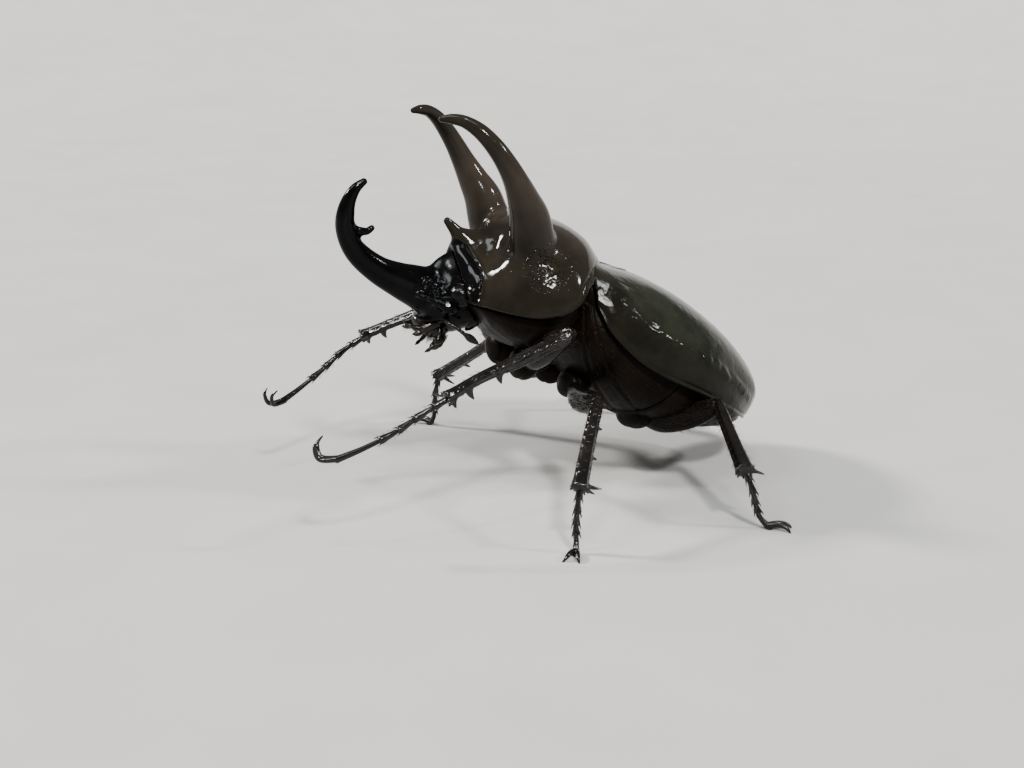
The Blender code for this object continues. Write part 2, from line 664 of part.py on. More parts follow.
def make_leg(which, hand, frame, body, materials):
    side = "left" if hand > 0 else "right"
    leg = LEGS.get(f"{which}_{side}") or LEGS[which]
    coxa = ball(f"coxa_{which}_{side}", leg["coxa"], leg["coxa_halves"], frame, materials["underside"], hand, 9, 5)
    cut_clear(coxa, body)
    femur = sweep(f"femur_{which}_{side}", through(leg["femur"], 7), frame, materials["cuticle"], hand, 9, (0, 1, 0))
    cut_clear(femur, [coxa] + body)
    tibia = sweep(f"tibia_{which}_{side}", through(leg["tibia"], 7), frame, materials["cuticle"], hand, 8,
                  leg["across"])
    cut_clear(tibia, [femur])
    tarsus = make_tarsus(f"tarsus_{which}_{side}", leg, hand, frame, materials["cuticle"], tibia)
    arm_tibia(tibia, leg, hand, frame, materials["cuticle"])
    return tarsus


def flatten_foot(obj):
    # Cuts the lowest claws off level with the floor, for a small flat to stand on.
    size = 0.2
    bpy.ops.mesh.primitive_cube_add(size=size, location=(0, 0, -size / 2))
    floor = bpy.context.object
    floor.name = "floor cutter"
    cut = obj.modifiers.new("floor", "BOOLEAN")
    cut.operation = "DIFFERENCE"
    cut.object = floor
    bpy.context.view_layer.update()
    applied(obj)
    bpy.data.objects.remove(floor)


def shade(obj):
    obj.data.shade_smooth()
    obj.data.set_sharp_from_angle(angle=math.radians(50))


def build():
    materials = {name: make_material(name) for name in COLOURS}
    level = make_frame("stance", 0.0)
    front = make_frame("prothorax", PROTHORAX_PITCH)
    hind = make_frame("hindbody", HIND_PITCH)
    bpy.context.view_layer.update()

    head = make_head(level, materials["cuticle"])
    pronotum = make_pronotum(front, materials["pronotum"])
    prosternum = make_prosternum(front, materials["underside"])
    cut_clear(pronotum, [head])
    cut_clear(prosternum, [head])
    head_horn = make_head_horn(level, materials["cuticle"])
    cut_clear(head_horn, [head, pronotum])
    horn = sweep("pronotal_horn_middle", through(MIDDLE_HORN, 6), front, materials["pronotum"], sides=8)
    cut_clear(horn, [pronotum, head])
    mouth = make_mouthparts(level, materials["mouth"])
    cut_clear(mouth, [head])
    for hand, side in ((1, "left"), (-1, "right")):
        horn = sweep(f"pronotal_horn_{side}", through(SIDE_HORN, 14), front, materials["pronotum"], hand, 10)
        cut_clear(horn, [pronotum])
        eye = ball(f"eye_{side}", EYE_CENTRE, (EYE_RADIUS,) * 3, level, materials["eye"], hand, 10, 7)
        cut_clear(eye, [head, pronotum, prosternum])
        antenna = make_antenna(f"antenna_{side}", hand, level, materials["mouth"])
        cut_clear(antenna, [head])

    thorax = make_thorax(hind, materials["underside"])
    abdomen = make_abdomen(hind, materials["underside"])
    cut_clear(thorax, [pronotum, prosternum])
    scutellum = make_scutellum(hind, materials["elytra"])
    cut_clear(scutellum, [pronotum])
    cut_clear(thorax, [scutellum])
    for hand, side in ((1, "left"), (-1, "right")):
        elytron = make_elytron(f"elytron_{side}", hand, hind, materials["elytra"])
        cut_clear(elytron, [pronotum, scutellum])
    for hand in (1, -1):
        make_leg("front", hand, level, [prosternum, pronotum], materials)
        for which in ("middle", "hind"):
            tarsus = make_leg(which, hand, level, [thorax, abdomen], materials)
            flatten_foot(tarsus)
    for obj in PARTS.objects:
        if obj.type == "MESH":
            shade(obj)


clear_scene()
PARTS = make_collection("atlas_beetle")
CUTTERS = make_collection("cutters")
build()
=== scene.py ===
import math

import bmesh
import bpy
import numpy as np
from mathutils import Matrix, Vector, noise
from mathutils.bvhtree import BVHTree


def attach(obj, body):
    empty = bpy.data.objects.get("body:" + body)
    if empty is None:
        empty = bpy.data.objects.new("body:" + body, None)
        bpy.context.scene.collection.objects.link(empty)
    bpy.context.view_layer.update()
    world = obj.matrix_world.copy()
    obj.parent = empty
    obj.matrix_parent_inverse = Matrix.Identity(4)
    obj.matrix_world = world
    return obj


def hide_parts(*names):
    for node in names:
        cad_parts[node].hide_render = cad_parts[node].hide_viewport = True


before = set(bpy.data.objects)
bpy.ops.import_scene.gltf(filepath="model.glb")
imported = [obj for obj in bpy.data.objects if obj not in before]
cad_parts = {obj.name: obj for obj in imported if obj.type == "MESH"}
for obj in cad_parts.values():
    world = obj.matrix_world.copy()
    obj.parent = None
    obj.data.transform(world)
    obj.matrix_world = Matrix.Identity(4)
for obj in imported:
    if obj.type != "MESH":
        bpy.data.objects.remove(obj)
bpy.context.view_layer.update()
print("frame loaded")

# A male atlas beetle at life size. All sizes are millimetres, as (side, ahead, up) from the waist, the point
# of its back where the pronotum meets the wing cases. Side is positive on its left.
stance = {
    "waist": (0.0, 15.0, 44.0),  # in the frame
    "headPitch": 0.0,
    "frontPitch": 25.0,  # head end up, in degrees
    "hindPitch": 41.0,
    "metres": 0.001,
}
level, fore, hind = stance["headPitch"], stance["frontPitch"], stance["hindPitch"]


# Small tools for points

def smoothStep(low, high, value):
    share = np.clip((value - low) / (high - low), 0.0, 1.0)
    return share * share * (3 - 2 * share)


def unit(vectors):
    return vectors / np.maximum(np.linalg.norm(vectors, axis=-1, keepdims=True), 1e-9)


def place(points, pitch):
    # From a body part's own (side, ahead, up) to the frame, still in millimetres
    points = np.asarray(points, float)
    side, ahead, up = points[..., 0], points[..., 1], points[..., 2]
    lean = math.radians(pitch)
    home = stance["waist"]
    return np.stack((home[0] + side,
                     home[1] - ahead * math.cos(lean) + up * math.sin(lean),
                     home[2] + ahead * math.sin(lean) + up * math.cos(lean)), axis=-1)


def unplace(points, pitch):
    # And back again
    home = stance["waist"]
    lean = math.radians(pitch)
    side, back, up = points[:, 0] - home[0], points[:, 1] - home[1], points[:, 2] - home[2]
    return np.stack((side,
                     up * math.sin(lean) - back * math.cos(lean),
                     up * math.cos(lean) + back * math.sin(lean)), axis=-1)


def curveAt(rows, places):
    # A smooth curve through rows of numbers, read at places counted in rows
    rows = np.asarray(rows, float)
    places = np.asarray(places, float)
    last = len(rows) - 1
    k = np.clip(np.floor(places).astype(int), 0, last - 1)
    t = (places - k)[..., None]
    p, q, r, s = (rows[np.clip(k + step, 0, last)] for step in (-1, 0, 1, 2))
    return 0.5 * (2 * q + (r - p) * t + (2 * p - 5 * q + 4 * r - s) * t ** 2
                  + (3 * q - p - 3 * r + s) * t ** 3)


def ripple(points, size, octaves=3, shift=0.0):
    # Soft random hills, about -1 to 1 high and of a size in millimetres
    move = Vector((shift, shift * 0.7, -shift))
    flat = np.asarray(points).reshape(-1, 3)
    found = [noise.fractal(Vector(point) / size + move, 0.9, 2.1, octaves) for point in flat]
    return np.array(found).reshape(np.asarray(points).shape[:-1])


def gridNormals(grid):
    # Directions away from a grid's surface, along its rows cross its columns
    return unit(np.cross(np.gradient(grid, axis=1), np.gradient(grid, axis=0)))


def pressFlats(points, flats, pitch, hand):
    # Presses a skin to small flats, each as on the left side: a point of the body part, how deep below it, a
    # direction in the frame, and a reach
    points = points.copy()
    flip = np.array((hand, 1, 1))
    for point, depth, way, reach in flats:
        centre = place(point, pitch) - unit(np.array(way)) * depth
        offset = points - centre * flip
        way = unit(np.array(way) * flip)
        over = np.maximum(offset @ way, 0) * (np.linalg.norm(offset, axis=-1) < reach)
        points -= (over * over / (over + 0.02))[..., None] * way
    return points


# Small tools for skins, each a list of points and a list of faces

def ringSkin(grid, strip=False):
    # A closed skin over a grid of closed rings. A fan or, for a thin crescent, a strip shuts each end.
    count, size = grid.shape[:2]
    index = np.arange(count * size).reshape(count, size)
    following = np.roll(index, -1, axis=1)
    faces = np.stack((index[:-1], following[:-1], following[1:], index[1:]), axis=-1).reshape(-1, 4).tolist()
    points = grid.reshape(-1, 3)
    if strip:
        for row in (index[0], index[-1]):
            faces += [(row[i], row[i + 1], row[size - 2 - i], row[size - 1 - i])
                      for i in range(size // 2 - 1)]
        return points, faces
    points = np.vstack((points, grid[0].mean(0), grid[-1].mean(0)))
    for ring, middle in ((0, count * size), (count - 1, count * size + 1)):
        faces += [(index[ring, i], following[ring, i], middle) for i in range(size)]
    return points, faces


def tubeFrame(rows, places, across):
    # Path, half sizes and directions of a tube, along rows of (side, ahead, up, half width, half depth)
    found = curveAt(rows, places)
    step = 0.02
    way = unit(curveAt(rows, np.minimum(places + step, len(rows) - 1))[..., :3]
               - curveAt(rows, np.maximum(places - step, 0))[..., :3])
    wide = np.broadcast_to(np.asarray(across, float), way.shape)
    wide = unit(wide - way * (wide * way).sum(-1, keepdims=True))
    return found[..., :3], found[..., 3:5], way, wide, np.cross(way, wide)


def tubeGrid(rows, along=60, around=32, across=(1, 0, 0), rootRound=False, cap=1.0, shape=None):
    # Rings round the tube, with a rounded tip. The shape is a height over the oval at (share along, turn).
    places = np.linspace(0, len(rows) - 1, along)
    path, halves, way, wide, deep = tubeFrame(rows, places, across)
    shares = places / places[-1]
    swell = np.ones(along)
    capTurns = np.radians(np.linspace(15, 84, 6))
    for end in ((0, -1) if rootRound else (-1,)):
        reach = cap * halves[end].min() * (1 if end else -1)
        capPath = path[end] + way[end] * np.sin(capTurns)[:, None] * reach
        order = slice(None) if end else slice(None, None, -1)
        extra = [capPath, np.repeat(halves[[end]], 6, 0), np.repeat(wide[[end]], 6, 0),
                 np.repeat(deep[[end]], 6, 0), np.repeat(shares[[end]], 6), np.cos(capTurns)]
        kept = (path, halves, wide, deep, shares, swell)
        path, halves, wide, deep, shares, swell = (
            np.concatenate((old, new[order]) if end else (new[order], old)) for old, new in zip(kept, extra))
    turns = np.linspace(0, 2 * math.pi, around, endpoint=False)
    height = shape(shares[:, None], turns[None, :]) if shape else np.zeros((len(path), around))
    radii = halves * swell[:, None]
    high = height * swell[:, None]
    return (path[:, None] + wide[:, None] * ((radii[:, :1] + high) * np.cos(turns))[..., None]
            + deep[:, None] * ((radii[:, 1:] + high) * np.sin(turns))[..., None])


def tube(rows, pitch, hand=1, **words):
    grid = tubeGrid(rows, **words)
    grid[..., 0] *= hand
    return ringSkin(place(grid, pitch))


def rod(points, radii, pitch, hand=1, **words):
    rows = [(*point, radius, radius) for point, radius in zip(points, radii)]
    return tube(rows, pitch, hand, **words)


def ball(centre, halves, pitch, hand=1, around=40, rings=26, shape=None):
    turns = np.linspace(0.03, math.pi - 0.03, rings)[:, None]
    rounds = np.linspace(0, 2 * math.pi, around, endpoint=False)[None, :]
    size = 1 + (shape(turns, rounds) if shape else 0)
    grid = np.stack(((centre[0] + halves[0] * size * np.sin(turns) * np.cos(rounds)) * hand,
                     centre[1] - halves[1] * size * np.cos(turns) + 0 * rounds,
                     centre[2] + halves[2] * size * np.sin(turns) * np.sin(rounds)), axis=-1)
    return ringSkin(place(grid, pitch))


def joined(skins):
    points, faces, start = [], [], 0
    for skinPoints, skinFaces in skins:
        points.append(skinPoints)
        faces += [tuple(i + start for i in face) for face in skinFaces]
        start += len(skinPoints)
    return np.vstack(points), faces


def roughMesh(skin):
    mesh = bpy.data.meshes.new("rough")
    mesh.from_pydata(skin[0].tolist(), [], skin[1])
    shape = bmesh.new()
    shape.from_mesh(mesh)
    bmesh.ops.recalc_face_normals(shape, faces=shape.faces)
    shape.to_mesh(mesh)
    shape.free()
    return mesh


def relax(points, edges, free, rounds):
    # Evens out the free points between the fixed ones
    points = points.copy()
    count = np.bincount(edges.ravel(), minlength=len(points))
    for _ in range(rounds):
        for axis in range(3):
            values = points[:, axis]
            total = (np.bincount(edges[:, 0], values[edges[:, 1]], len(points))
                     + np.bincount(edges[:, 1], values[edges[:, 0]], len(points)))
            points[:, axis] = values + 0.5 * free * (total / count - values)
    return points


def fuseSkins(parts, voxel, rounds=80):
    # One smooth skin over (skin, blend) pairs. The blend is how far its skin's root is rounded off.
    skins, blends = zip(*parts)
    mesh = roughMesh(joined(skins))
    rough = bpy.data.objects.new("rough", mesh)
    bpy.context.scene.collection.objects.link(rough)
    change = rough.modifiers.new("fuse", "REMESH")
    change.mode = "VOXEL"
    change.voxel_size = voxel
    done = bpy.data.meshes.new_from_object(rough.evaluated_get(bpy.context.evaluated_depsgraph_get()))
    points = np.zeros(len(done.vertices) * 3, np.float32)
    done.vertices.foreach_get("co", points)
    points = points.reshape(-1, 3).astype(float)
    edges = np.zeros(len(done.edges) * 2, np.int32)
    done.edges.foreach_get("vertices", edges)
    edges = edges.reshape(-1, 2)
    faces = [tuple(face.vertices) for face in done.polygons]
    bpy.data.objects.remove(rough)
    bpy.data.meshes.remove(mesh)
    bpy.data.meshes.remove(done)

    trees = [BVHTree.FromPolygons(skin[0].tolist(), skin[1]) for skin in skins]
    reach = max(max(blends), 3 * voxel)
    snapped = points.copy()
    fixed = np.ones(len(points))
    for i, point in enumerate(points.tolist()):
        hits = [tree.find_nearest(point, reach) for tree in trees]
        away = [hit[3] if hit[0] is not None else reach for hit in hits]
        near = min(range(len(away)), key=away.__getitem__)
        if hits[near][0] is None:
            continue
        snapped[i] = hits[near][0]
        for k, distance in enumerate(away):
            if k != near and distance < min(blends[k], blends[near]):
                share = distance / min(blends[k], blends[near])
                fixed[i] = min(fixed[i], share * share * (3 - 2 * share))
    free = 1 - fixed
    start = snapped * fixed[:, None] + points * free[:, None]
    return relax(start, edges, free, rounds), faces


def pointNormals(points, faces):
    mesh = bpy.data.meshes.new("rough")
    mesh.from_pydata(points.tolist(), [], faces)
    found = np.zeros(len(points) * 3, np.float32)
    mesh.vertex_normals.foreach_get("vector", found)
    bpy.data.meshes.remove(mesh)
    return found.reshape(-1, 3).astype(float)


def splitSkin(points, faces, cuts, values=None):
    # Parts a skin by planes across its horns, each with a shut end. The directions that light it run on over
    # the cut, so that no seam shows. Each cut is (point, direction, side it is on, or 0 for the middle).
    shape = bmesh.new()
    for point in points.tolist():
        shape.verts.new(point)
    shape.verts.ensure_lookup_table()
    layers = {name: shape.verts.layers.float.new(name) for name in values or {}}
    for name, layer in layers.items():
        for vert, value in zip(shape.verts, values[name]):
            vert[layer] = value
    for face in faces:
        shape.faces.new([shape.verts[i] for i in face])
    for point, direction, _ in cuts:
        bmesh.ops.bisect_plane(shape, geom=shape.verts[:] + shape.edges[:] + shape.faces[:], dist=1e-5,
                               plane_co=point, plane_no=direction)
    shape.normal_update()
    groups = {k: [] for k in range(len(cuts) + 1)}
    for face in shape.faces:
        middle = face.calc_center_median()
        home = 0
        for k, (point, direction, side) in enumerate(cuts, 1):
            onSide = abs(middle.x) < 4 if side == 0 else middle.x * side > 4
            if onSide and (middle - Vector(point)).dot(Vector(direction)) > 0:
                home = k
        groups[home].append(face)
    parts = []
    for home, members in groups.items():
        number, spots, lights, rows = {}, [], [], []
        edges = {}
        for face in members:
            row = []
            for vert in face.verts:
                if vert not in number:
                    number[vert] = len(spots)
                    spots.append(tuple(vert.co))
                    lights.append(tuple(vert.normal))
                row.append(number[vert])
            rows.append(tuple(row))
            for edge in face.edges:
                edges[edge] = edges.get(edge, 0) + 1
        kept = {name: [vert[layer] for vert in number] for name, layer in layers.items()}
        for k, (point, direction, _) in enumerate(cuts, 1):
            if home not in (0, k):
                continue
            rim = [edge for edge, uses in edges.items() if uses == 1
                   and all(abs((v.co - Vector(point)).dot(Vector(direction))) < 1e-3 for v in edge.verts)
                   and (edge.verts[0].co - Vector(point)).length < 9]
            if not rim:
                continue
            middle = sum((v.co for edge in rim for v in edge.verts), Vector()) / (2 * len(rim))
            inward = Vector(direction) * (-0.4 if home == 0 else 0.4)
            spots.append(tuple(middle + inward))
            lights.append(tuple(Vector(direction) * (1 if home == 0 else -1)))
            for name in kept:
                kept[name].append(0.0)
            rows += [(number[edge.verts[0]], number[edge.verts[1]], len(spots) - 1) for edge in rim]
        parts.append((np.array(spots), rows, np.array(lights), kept))
    shape.free()
    return parts


def makePiece(name, skin, finish, nodes, lights=None, values=None):
    mesh = roughMesh((skin[0] * stance["metres"], skin[1]))
    mesh.name = name
    mesh.shade_smooth()
    if lights is not None:
        mesh.normals_split_custom_set_from_vertices(lights.tolist())
    for word, numbers in (values or {}).items():
        mesh.attributes.new(word, "FLOAT", "POINT").data.foreach_set("value", np.asarray(numbers, np.float32))
    mesh.materials.append(finish)
    piece = bpy.data.objects.new(name, mesh)
    bpy.context.scene.collection.objects.link(piece)
    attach(piece, "root")
    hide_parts(*nodes)
    return piece


def makeParts(parts, names, finish):
    # The parts of a split skin, under the names of their pieces and nodes
    for (name, nodeName), (spots, rows, lights, values) in zip(names.items(), parts):
        makePiece(name, (spots, rows), finish, [nodeName], lights, values)


# Finishes. Sizes are millimetres, and what a user would change is in the finish's dictionary: its dark and
# pale colours, the size and detail of its clouds and of its glossier patches, how rough it is, how much it
# mirrors, and then its own relief.

def node(tree, kind, **settings):
    made = tree.nodes.new(kind)
    for name, value in settings.items():
        setattr(made, name, value)
    return made


def spotCoordinates(tree):
    # Coordinates in millimetres that stay with the model
    source = node(tree, "ShaderNodeTexCoord")
    scaled = node(tree, "ShaderNodeMapping")
    scaled.inputs["Scale"].default_value = (1000, 1000, 1000)
    tree.links.new(source.outputs["Object"], scaled.inputs["Vector"])
    return scaled.outputs["Vector"]


def cloudy(tree, where, size, detail=3.0, rough=0.55):
    made = node(tree, "ShaderNodeTexNoise")
    made.inputs["Scale"].default_value = 1 / size
    made.inputs["Detail"].default_value = detail
    made.inputs["Roughness"].default_value = rough
    tree.links.new(where, made.inputs["Vector"])
    return made.outputs["Fac"]


def cells(tree, where, size, feature="F1", jitter=1.0):
    made = node(tree, "ShaderNodeTexVoronoi", feature=feature)
    made.inputs["Scale"].default_value = 1 / size
    made.inputs["Randomness"].default_value = jitter
    tree.links.new(where, made.inputs["Vector"])
    return made.outputs["Distance"]


def spread(tree, value, low, high, fromLow=0.3, fromHigh=0.7):
    made = node(tree, "ShaderNodeMapRange")
    made.inputs["From Min"].default_value = fromLow
    made.inputs["From Max"].default_value = fromHigh
    made.inputs["To Min"].default_value = low
    made.inputs["To Max"].default_value = high
    tree.links.new(value, made.inputs["Value"])
    return made.outputs["Result"]


def combined(tree, way, first, second):
    made = node(tree, "ShaderNodeMath", operation=way)
    for socket, value in zip(made.inputs, (first, second)):
        if isinstance(value, (int, float)):
            socket.default_value = value
        else:
            tree.links.new(value, socket)
    return made.outputs["Value"]


def times(tree, first, second):
    return combined(tree, "MULTIPLY", first, second)


def plus(tree, first, second, share=1.0):
    # The second value counts by its share
    return combined(tree, "ADD", first, times(tree, second, share))


def beads(tree, where, size, share):
    # Small domes on a random share of the cells
    made = node(tree, "ShaderNodeTexVoronoi")
    made.inputs["Scale"].default_value = 1 / size
    tree.links.new(where, made.inputs["Vector"])
    parts = node(tree, "ShaderNodeSeparateColor")
    tree.links.new(made.outputs["Color"], parts.inputs["Color"])
    chosen = combined(tree, "LESS_THAN", parts.outputs["Red"], share)
    return times(tree, spread(tree, made.outputs["Distance"], 1, 0, 0.05, 0.45), chosen)


def attribute(tree, name):
    made = node(tree, "ShaderNodeAttribute", attribute_name=name)
    return made.outputs["Fac"]


def painted(tree, value, dark, pale):
    made = node(tree, "ShaderNodeMix", data_type="RGBA")
    tree.links.new(value, made.inputs["Factor"])
    made.inputs["A"].default_value = (*dark, 1)
    made.inputs["B"].default_value = (*pale, 1)
    return made.outputs["Result"]


def tinted(tree, shader, share, tint):
    # Lays a tint over the finish's colour
    below = shader.inputs["Base Color"].links[0].from_socket
    colour = painted(tree, share, tint, tint)
    tree.links.new(below, colour.node.inputs["A"])
    tree.links.new(colour, shader.inputs["Base Color"])


def raised(tree, shader, height, depth):
    # The height runs from 0 to 1, and the depth is in millimetres
    made = node(tree, "ShaderNodeBump")
    made.inputs["Strength"].default_value = 1.0
    made.inputs["Distance"].default_value = depth * stance["metres"]
    tree.links.new(height, made.inputs["Height"])
    tree.links.new(made.outputs["Normal"], shader.inputs["Normal"])


def newFinish(name, look):
    # A material with cloudy colour and roughness, and what its own details are joined to
    material = bpy.data.materials.new(name)
    material.use_nodes = True
    tree = material.node_tree
    shader = tree.nodes["Principled BSDF"]
    shader.inputs["IOR"].default_value = 1.5
    shader.inputs["Specular IOR Level"].default_value = look["mirror"]
    where = spotCoordinates(tree)
    cloud = spread(tree, cloudy(tree, where, *look["cloud"]), 0, 1, *look.get("cloudRange", (0.3, 0.7)))
    tree.links.new(painted(tree, cloud, look["dark"], look["pale"]), shader.inputs["Base Color"])
    rough = spread(tree, cloudy(tree, where, *look["patches"]), *look["roughness"])
    tree.links.new(rough, shader.inputs["Roughness"])
    return material, tree, shader, where, cloud, rough


def polishedFinish():
    # Pronotum and its horns: deep gloss, a blacker collar, a grainy flank below each horn, lines at the edges
    look = {"dark": (0.0048, 0.0043, 0.0031), "pale": (0.0104, 0.0086, 0.0060), "cloud": (7.0,),
            "patches": (2.4, 4), "roughness": (0.05, 0.12), "mirror": 0.07,
            "horn": (0.0222, 0.0172, 0.0132), "black": (0.0016, 0.0014, 0.0014),
            "grain": 0.62, "grainShare": 0.85, "grainRough": 0.03, "pore": 0.55, "poreShare": 0.02,
            "lineShare": 0.2, "waves": (0.9, 5), "waveShare": 0.03, "depth": 0.54}
    material, tree, shader, where, cloud, rough = newFinish("polishedCuticle", look)
    horn = times(tree, attribute(tree, "horn"), spread(tree, cloud, 0.5, 1, 0, 1))
    tinted(tree, shader, horn, look["horn"])
    tinted(tree, shader, attribute(tree, "black"), look["black"])
    grainy = attribute(tree, "grain")
    tree.links.new(plus(tree, rough, grainy, look["grainRough"]), shader.inputs["Roughness"])
    height = times(tree, beads(tree, where, look["grain"], look["grainShare"]), grainy)
    pores = spread(tree, cells(tree, where, look["pore"]), 0, 1, 0.02, 0.12)
    height = plus(tree, height, pores, look["poreShare"])
    height = plus(tree, height, attribute(tree, "lines"), -look["lineShare"])
    height = plus(tree, height, cloudy(tree, where, *look["waves"]), look["waveShare"])
    raised(tree, shader, height, look["depth"])
    return material


def headFinish():
    # Head and head horn: black gloss, rough and pitted where the skin carries the pits
    look = {"dark": (0.0005, 0.0006, 0.0008), "pale": (0.0016, 0.0015, 0.0015), "cloud": (5.0,),
            "patches": (1.8, 4), "roughness": (0.08, 0.17), "mirror": 0.065,
            "pit": 0.5, "pitRough": 0.08, "waves": (0.7, 5), "waveShare": 0.22, "depth": 0.1}
    material, tree, shader, where, _, rough = newFinish("headCuticle", look)
    pitted = attribute(tree, "grain")
    tree.links.new(plus(tree, rough, pitted, look["pitRough"]), shader.inputs["Roughness"])
    pits = times(tree, spread(tree, cells(tree, where, look["pit"]), 0, 1, 0.05, 0.45), pitted)
    height = plus(tree, pits, cloudy(tree, where, *look["waves"]), look["waveShare"])
    raised(tree, shader, height, look["depth"])
    return material


def wingCaseFinish():
    # Wing cases and scutellum: olive black, with fine leathery wrinkles that break up the reflections, and a
    # painted shade that darkens the lower flank
    look = {"dark": (0.0044, 0.0049, 0.0034), "pale": (0.0132, 0.0139, 0.0092), "cloud": (9.0, 5, 0.6),
            "cloudRange": (0.35, 0.75), "patches": (1.6, 5), "roughness": (0.07, 0.15), "mirror": 0.06,
            "front": (0.0150, 0.0118, 0.0076), "shadedFlank": (0.0036, 0.0028, 0.0019), "shadedFlankShare": 0.62,
            "wrinkle": 1.3, "speck": 0.3, "waves": (0.8, 6, 0.6), "depth": 0.045}
    material, tree, shader, where, cloud, _ = newFinish("wingCaseCuticle", look)
    tinted(tree, shader, times(tree, attribute(tree, "front"), cloud), look["front"])
    # Painted shade: the lower flank is darkened, as it looks where it faces away from the light
    tinted(tree, shader, times(tree, attribute(tree, "shadedFlank"), look["shadedFlankShare"]), look["shadedFlank"])
    creases = spread(tree, cells(tree, where, look["wrinkle"], "SMOOTH_F1"), 0, 0.5, 0.1, 0.7)
    specks = spread(tree, cells(tree, where, look["speck"]), 0, 0.09, 0.05, 0.3)
    height = plus(tree, plus(tree, creases, cloudy(tree, where, *look["waves"])), specks)
    raised(tree, shader, height, look["depth"])
    return material


def eyeFinish():
    # Compound eye: fine round facets under a hard gloss
    look = {"dark": (0.0012, 0.0012, 0.0014), "pale": (0.0040, 0.0034, 0.0032), "cloud": (1.2,),
            "patches": (0.8,), "roughness": (0.06, 0.12), "mirror": 0.10, "facet": 0.13, "depth": 0.008}
    material, tree, shader, where, _, _ = newFinish("eyeFacets", look)
    facets = cells(tree, where, look["facet"], jitter=0.25)
    raised(tree, shader, spread(tree, facets, 1, 0, 0, 0.6), look["depth"])
    return material


def bristleFinish():
    # Bristles: dark rust, paler where they catch the light
    look = {"dark": (0.004, 0.0024, 0.0016), "pale": (0.021, 0.0105, 0.006), "cloud": (1.1, 4),
            "patches": (0.6,), "roughness": (0.35, 0.55), "mirror": 0.2, "waves": (0.15, 3), "depth": 0.02}
    material, tree, shader, where, _, _ = newFinish("rustBristle", look)
    raised(tree, shader, cloudy(tree, where, *look["waves"]), look["depth"])
    return material


prickedLooks = {
    # Legs: black, satin to gloss
    "leg": {"dark": (0.0018, 0.0016, 0.0015), "pale": (0.0058, 0.0043, 0.0036), "cloud": (4.0,),
            "patches": (1.1, 4), "roughness": (0.08, 0.19), "mirror": 0.26,
            "pit": 0.42, "pitRange": (0.7, 0.05, 0.3), "waves": (0.5, 5), "waveShare": 1.0, "depth": 0.04},
    # Underside: satin red-black
    "belly": {"dark": (0.0017, 0.0013, 0.0009), "pale": (0.0055, 0.0036, 0.0024), "cloud": (5.0, 4),
              "patches": (1.5, 4), "roughness": (0.28, 0.46), "mirror": 0.025,
              "pit": 0.5, "pitRange": (0.8, 0.04, 0.28), "waves": (0.8, 5), "waveShare": 0.6, "depth": 0.09},
    # Mouthparts and antennae: dull dark red-brown
    "mouth": {"dark": (0.0018, 0.0013, 0.0012), "pale": (0.0055, 0.0034, 0.0026), "cloud": (1.6, 4),
              "patches": (0.9,), "roughness": (0.10, 0.22), "mirror": 0.20,
              "pit": 0.3, "pitRange": (0.6, 0.05, 0.3), "waves": (0.4, 4), "waveShare": 1.0, "depth": 0.05},
}
prickedLooks["femur"] = {**prickedLooks["leg"], "mirror": 0.05}  # broad and dark


def prickedFinish(name, look):
    # Cuticle with small pricks all over. Their range is how high they stand, and from and to which distance.
    material, tree, shader, where, _, _ = newFinish(name, look)
    pits = spread(tree, cells(tree, where, look["pit"]), 0, *look["pitRange"])
    height = plus(tree, pits, cloudy(tree, where, *look["waves"]), look["waveShare"])
    raised(tree, shader, height, look["depth"])
    return material


finishes = {name: prickedFinish(name + "Cuticle", look) for name, look in prickedLooks.items()}
finishes["polished"] = polishedFinish()
finishes["head"] = headFinish()
finishes["wingCase"] = wingCaseFinish()
finishes["eye"] = eyeFinish()
finishes["bristle"] = bristleFinish()
print("finishes made")


# The arch that the back is made of

def arches(crowns, margins, turns, fullness, sweepPower=1.4):
    # For each station, points from its crown (ahead, up) at turn 0 to its margin (side, ahead, up)
    sine, cosine = np.abs(np.sin(turns)), np.maximum(np.cos(turns), 0)
    side = margins[:, :1] * sine ** fullness * np.sign(turns)
    up = margins[:, 2:3] + (crowns[:, 1:2] - margins[:, 2:3]) * cosine ** fullness
    ahead = crowns[:, :1] + (margins[:, 1:2] - crowns[:, :1]) * sine ** sweepPower
    return np.stack((side, ahead, up), axis=-1)


def nearTo(points, centre, reach):
    # 1 at the centre or its mirror image, and 0 far off
    away = (np.abs(points[..., 0]) - centre[0]) ** 2 + (points[..., 1] - centre[1]) ** 2
    return np.exp(-(away + (points[..., 2] - centre[2]) ** 2) / (2 * reach * reach))


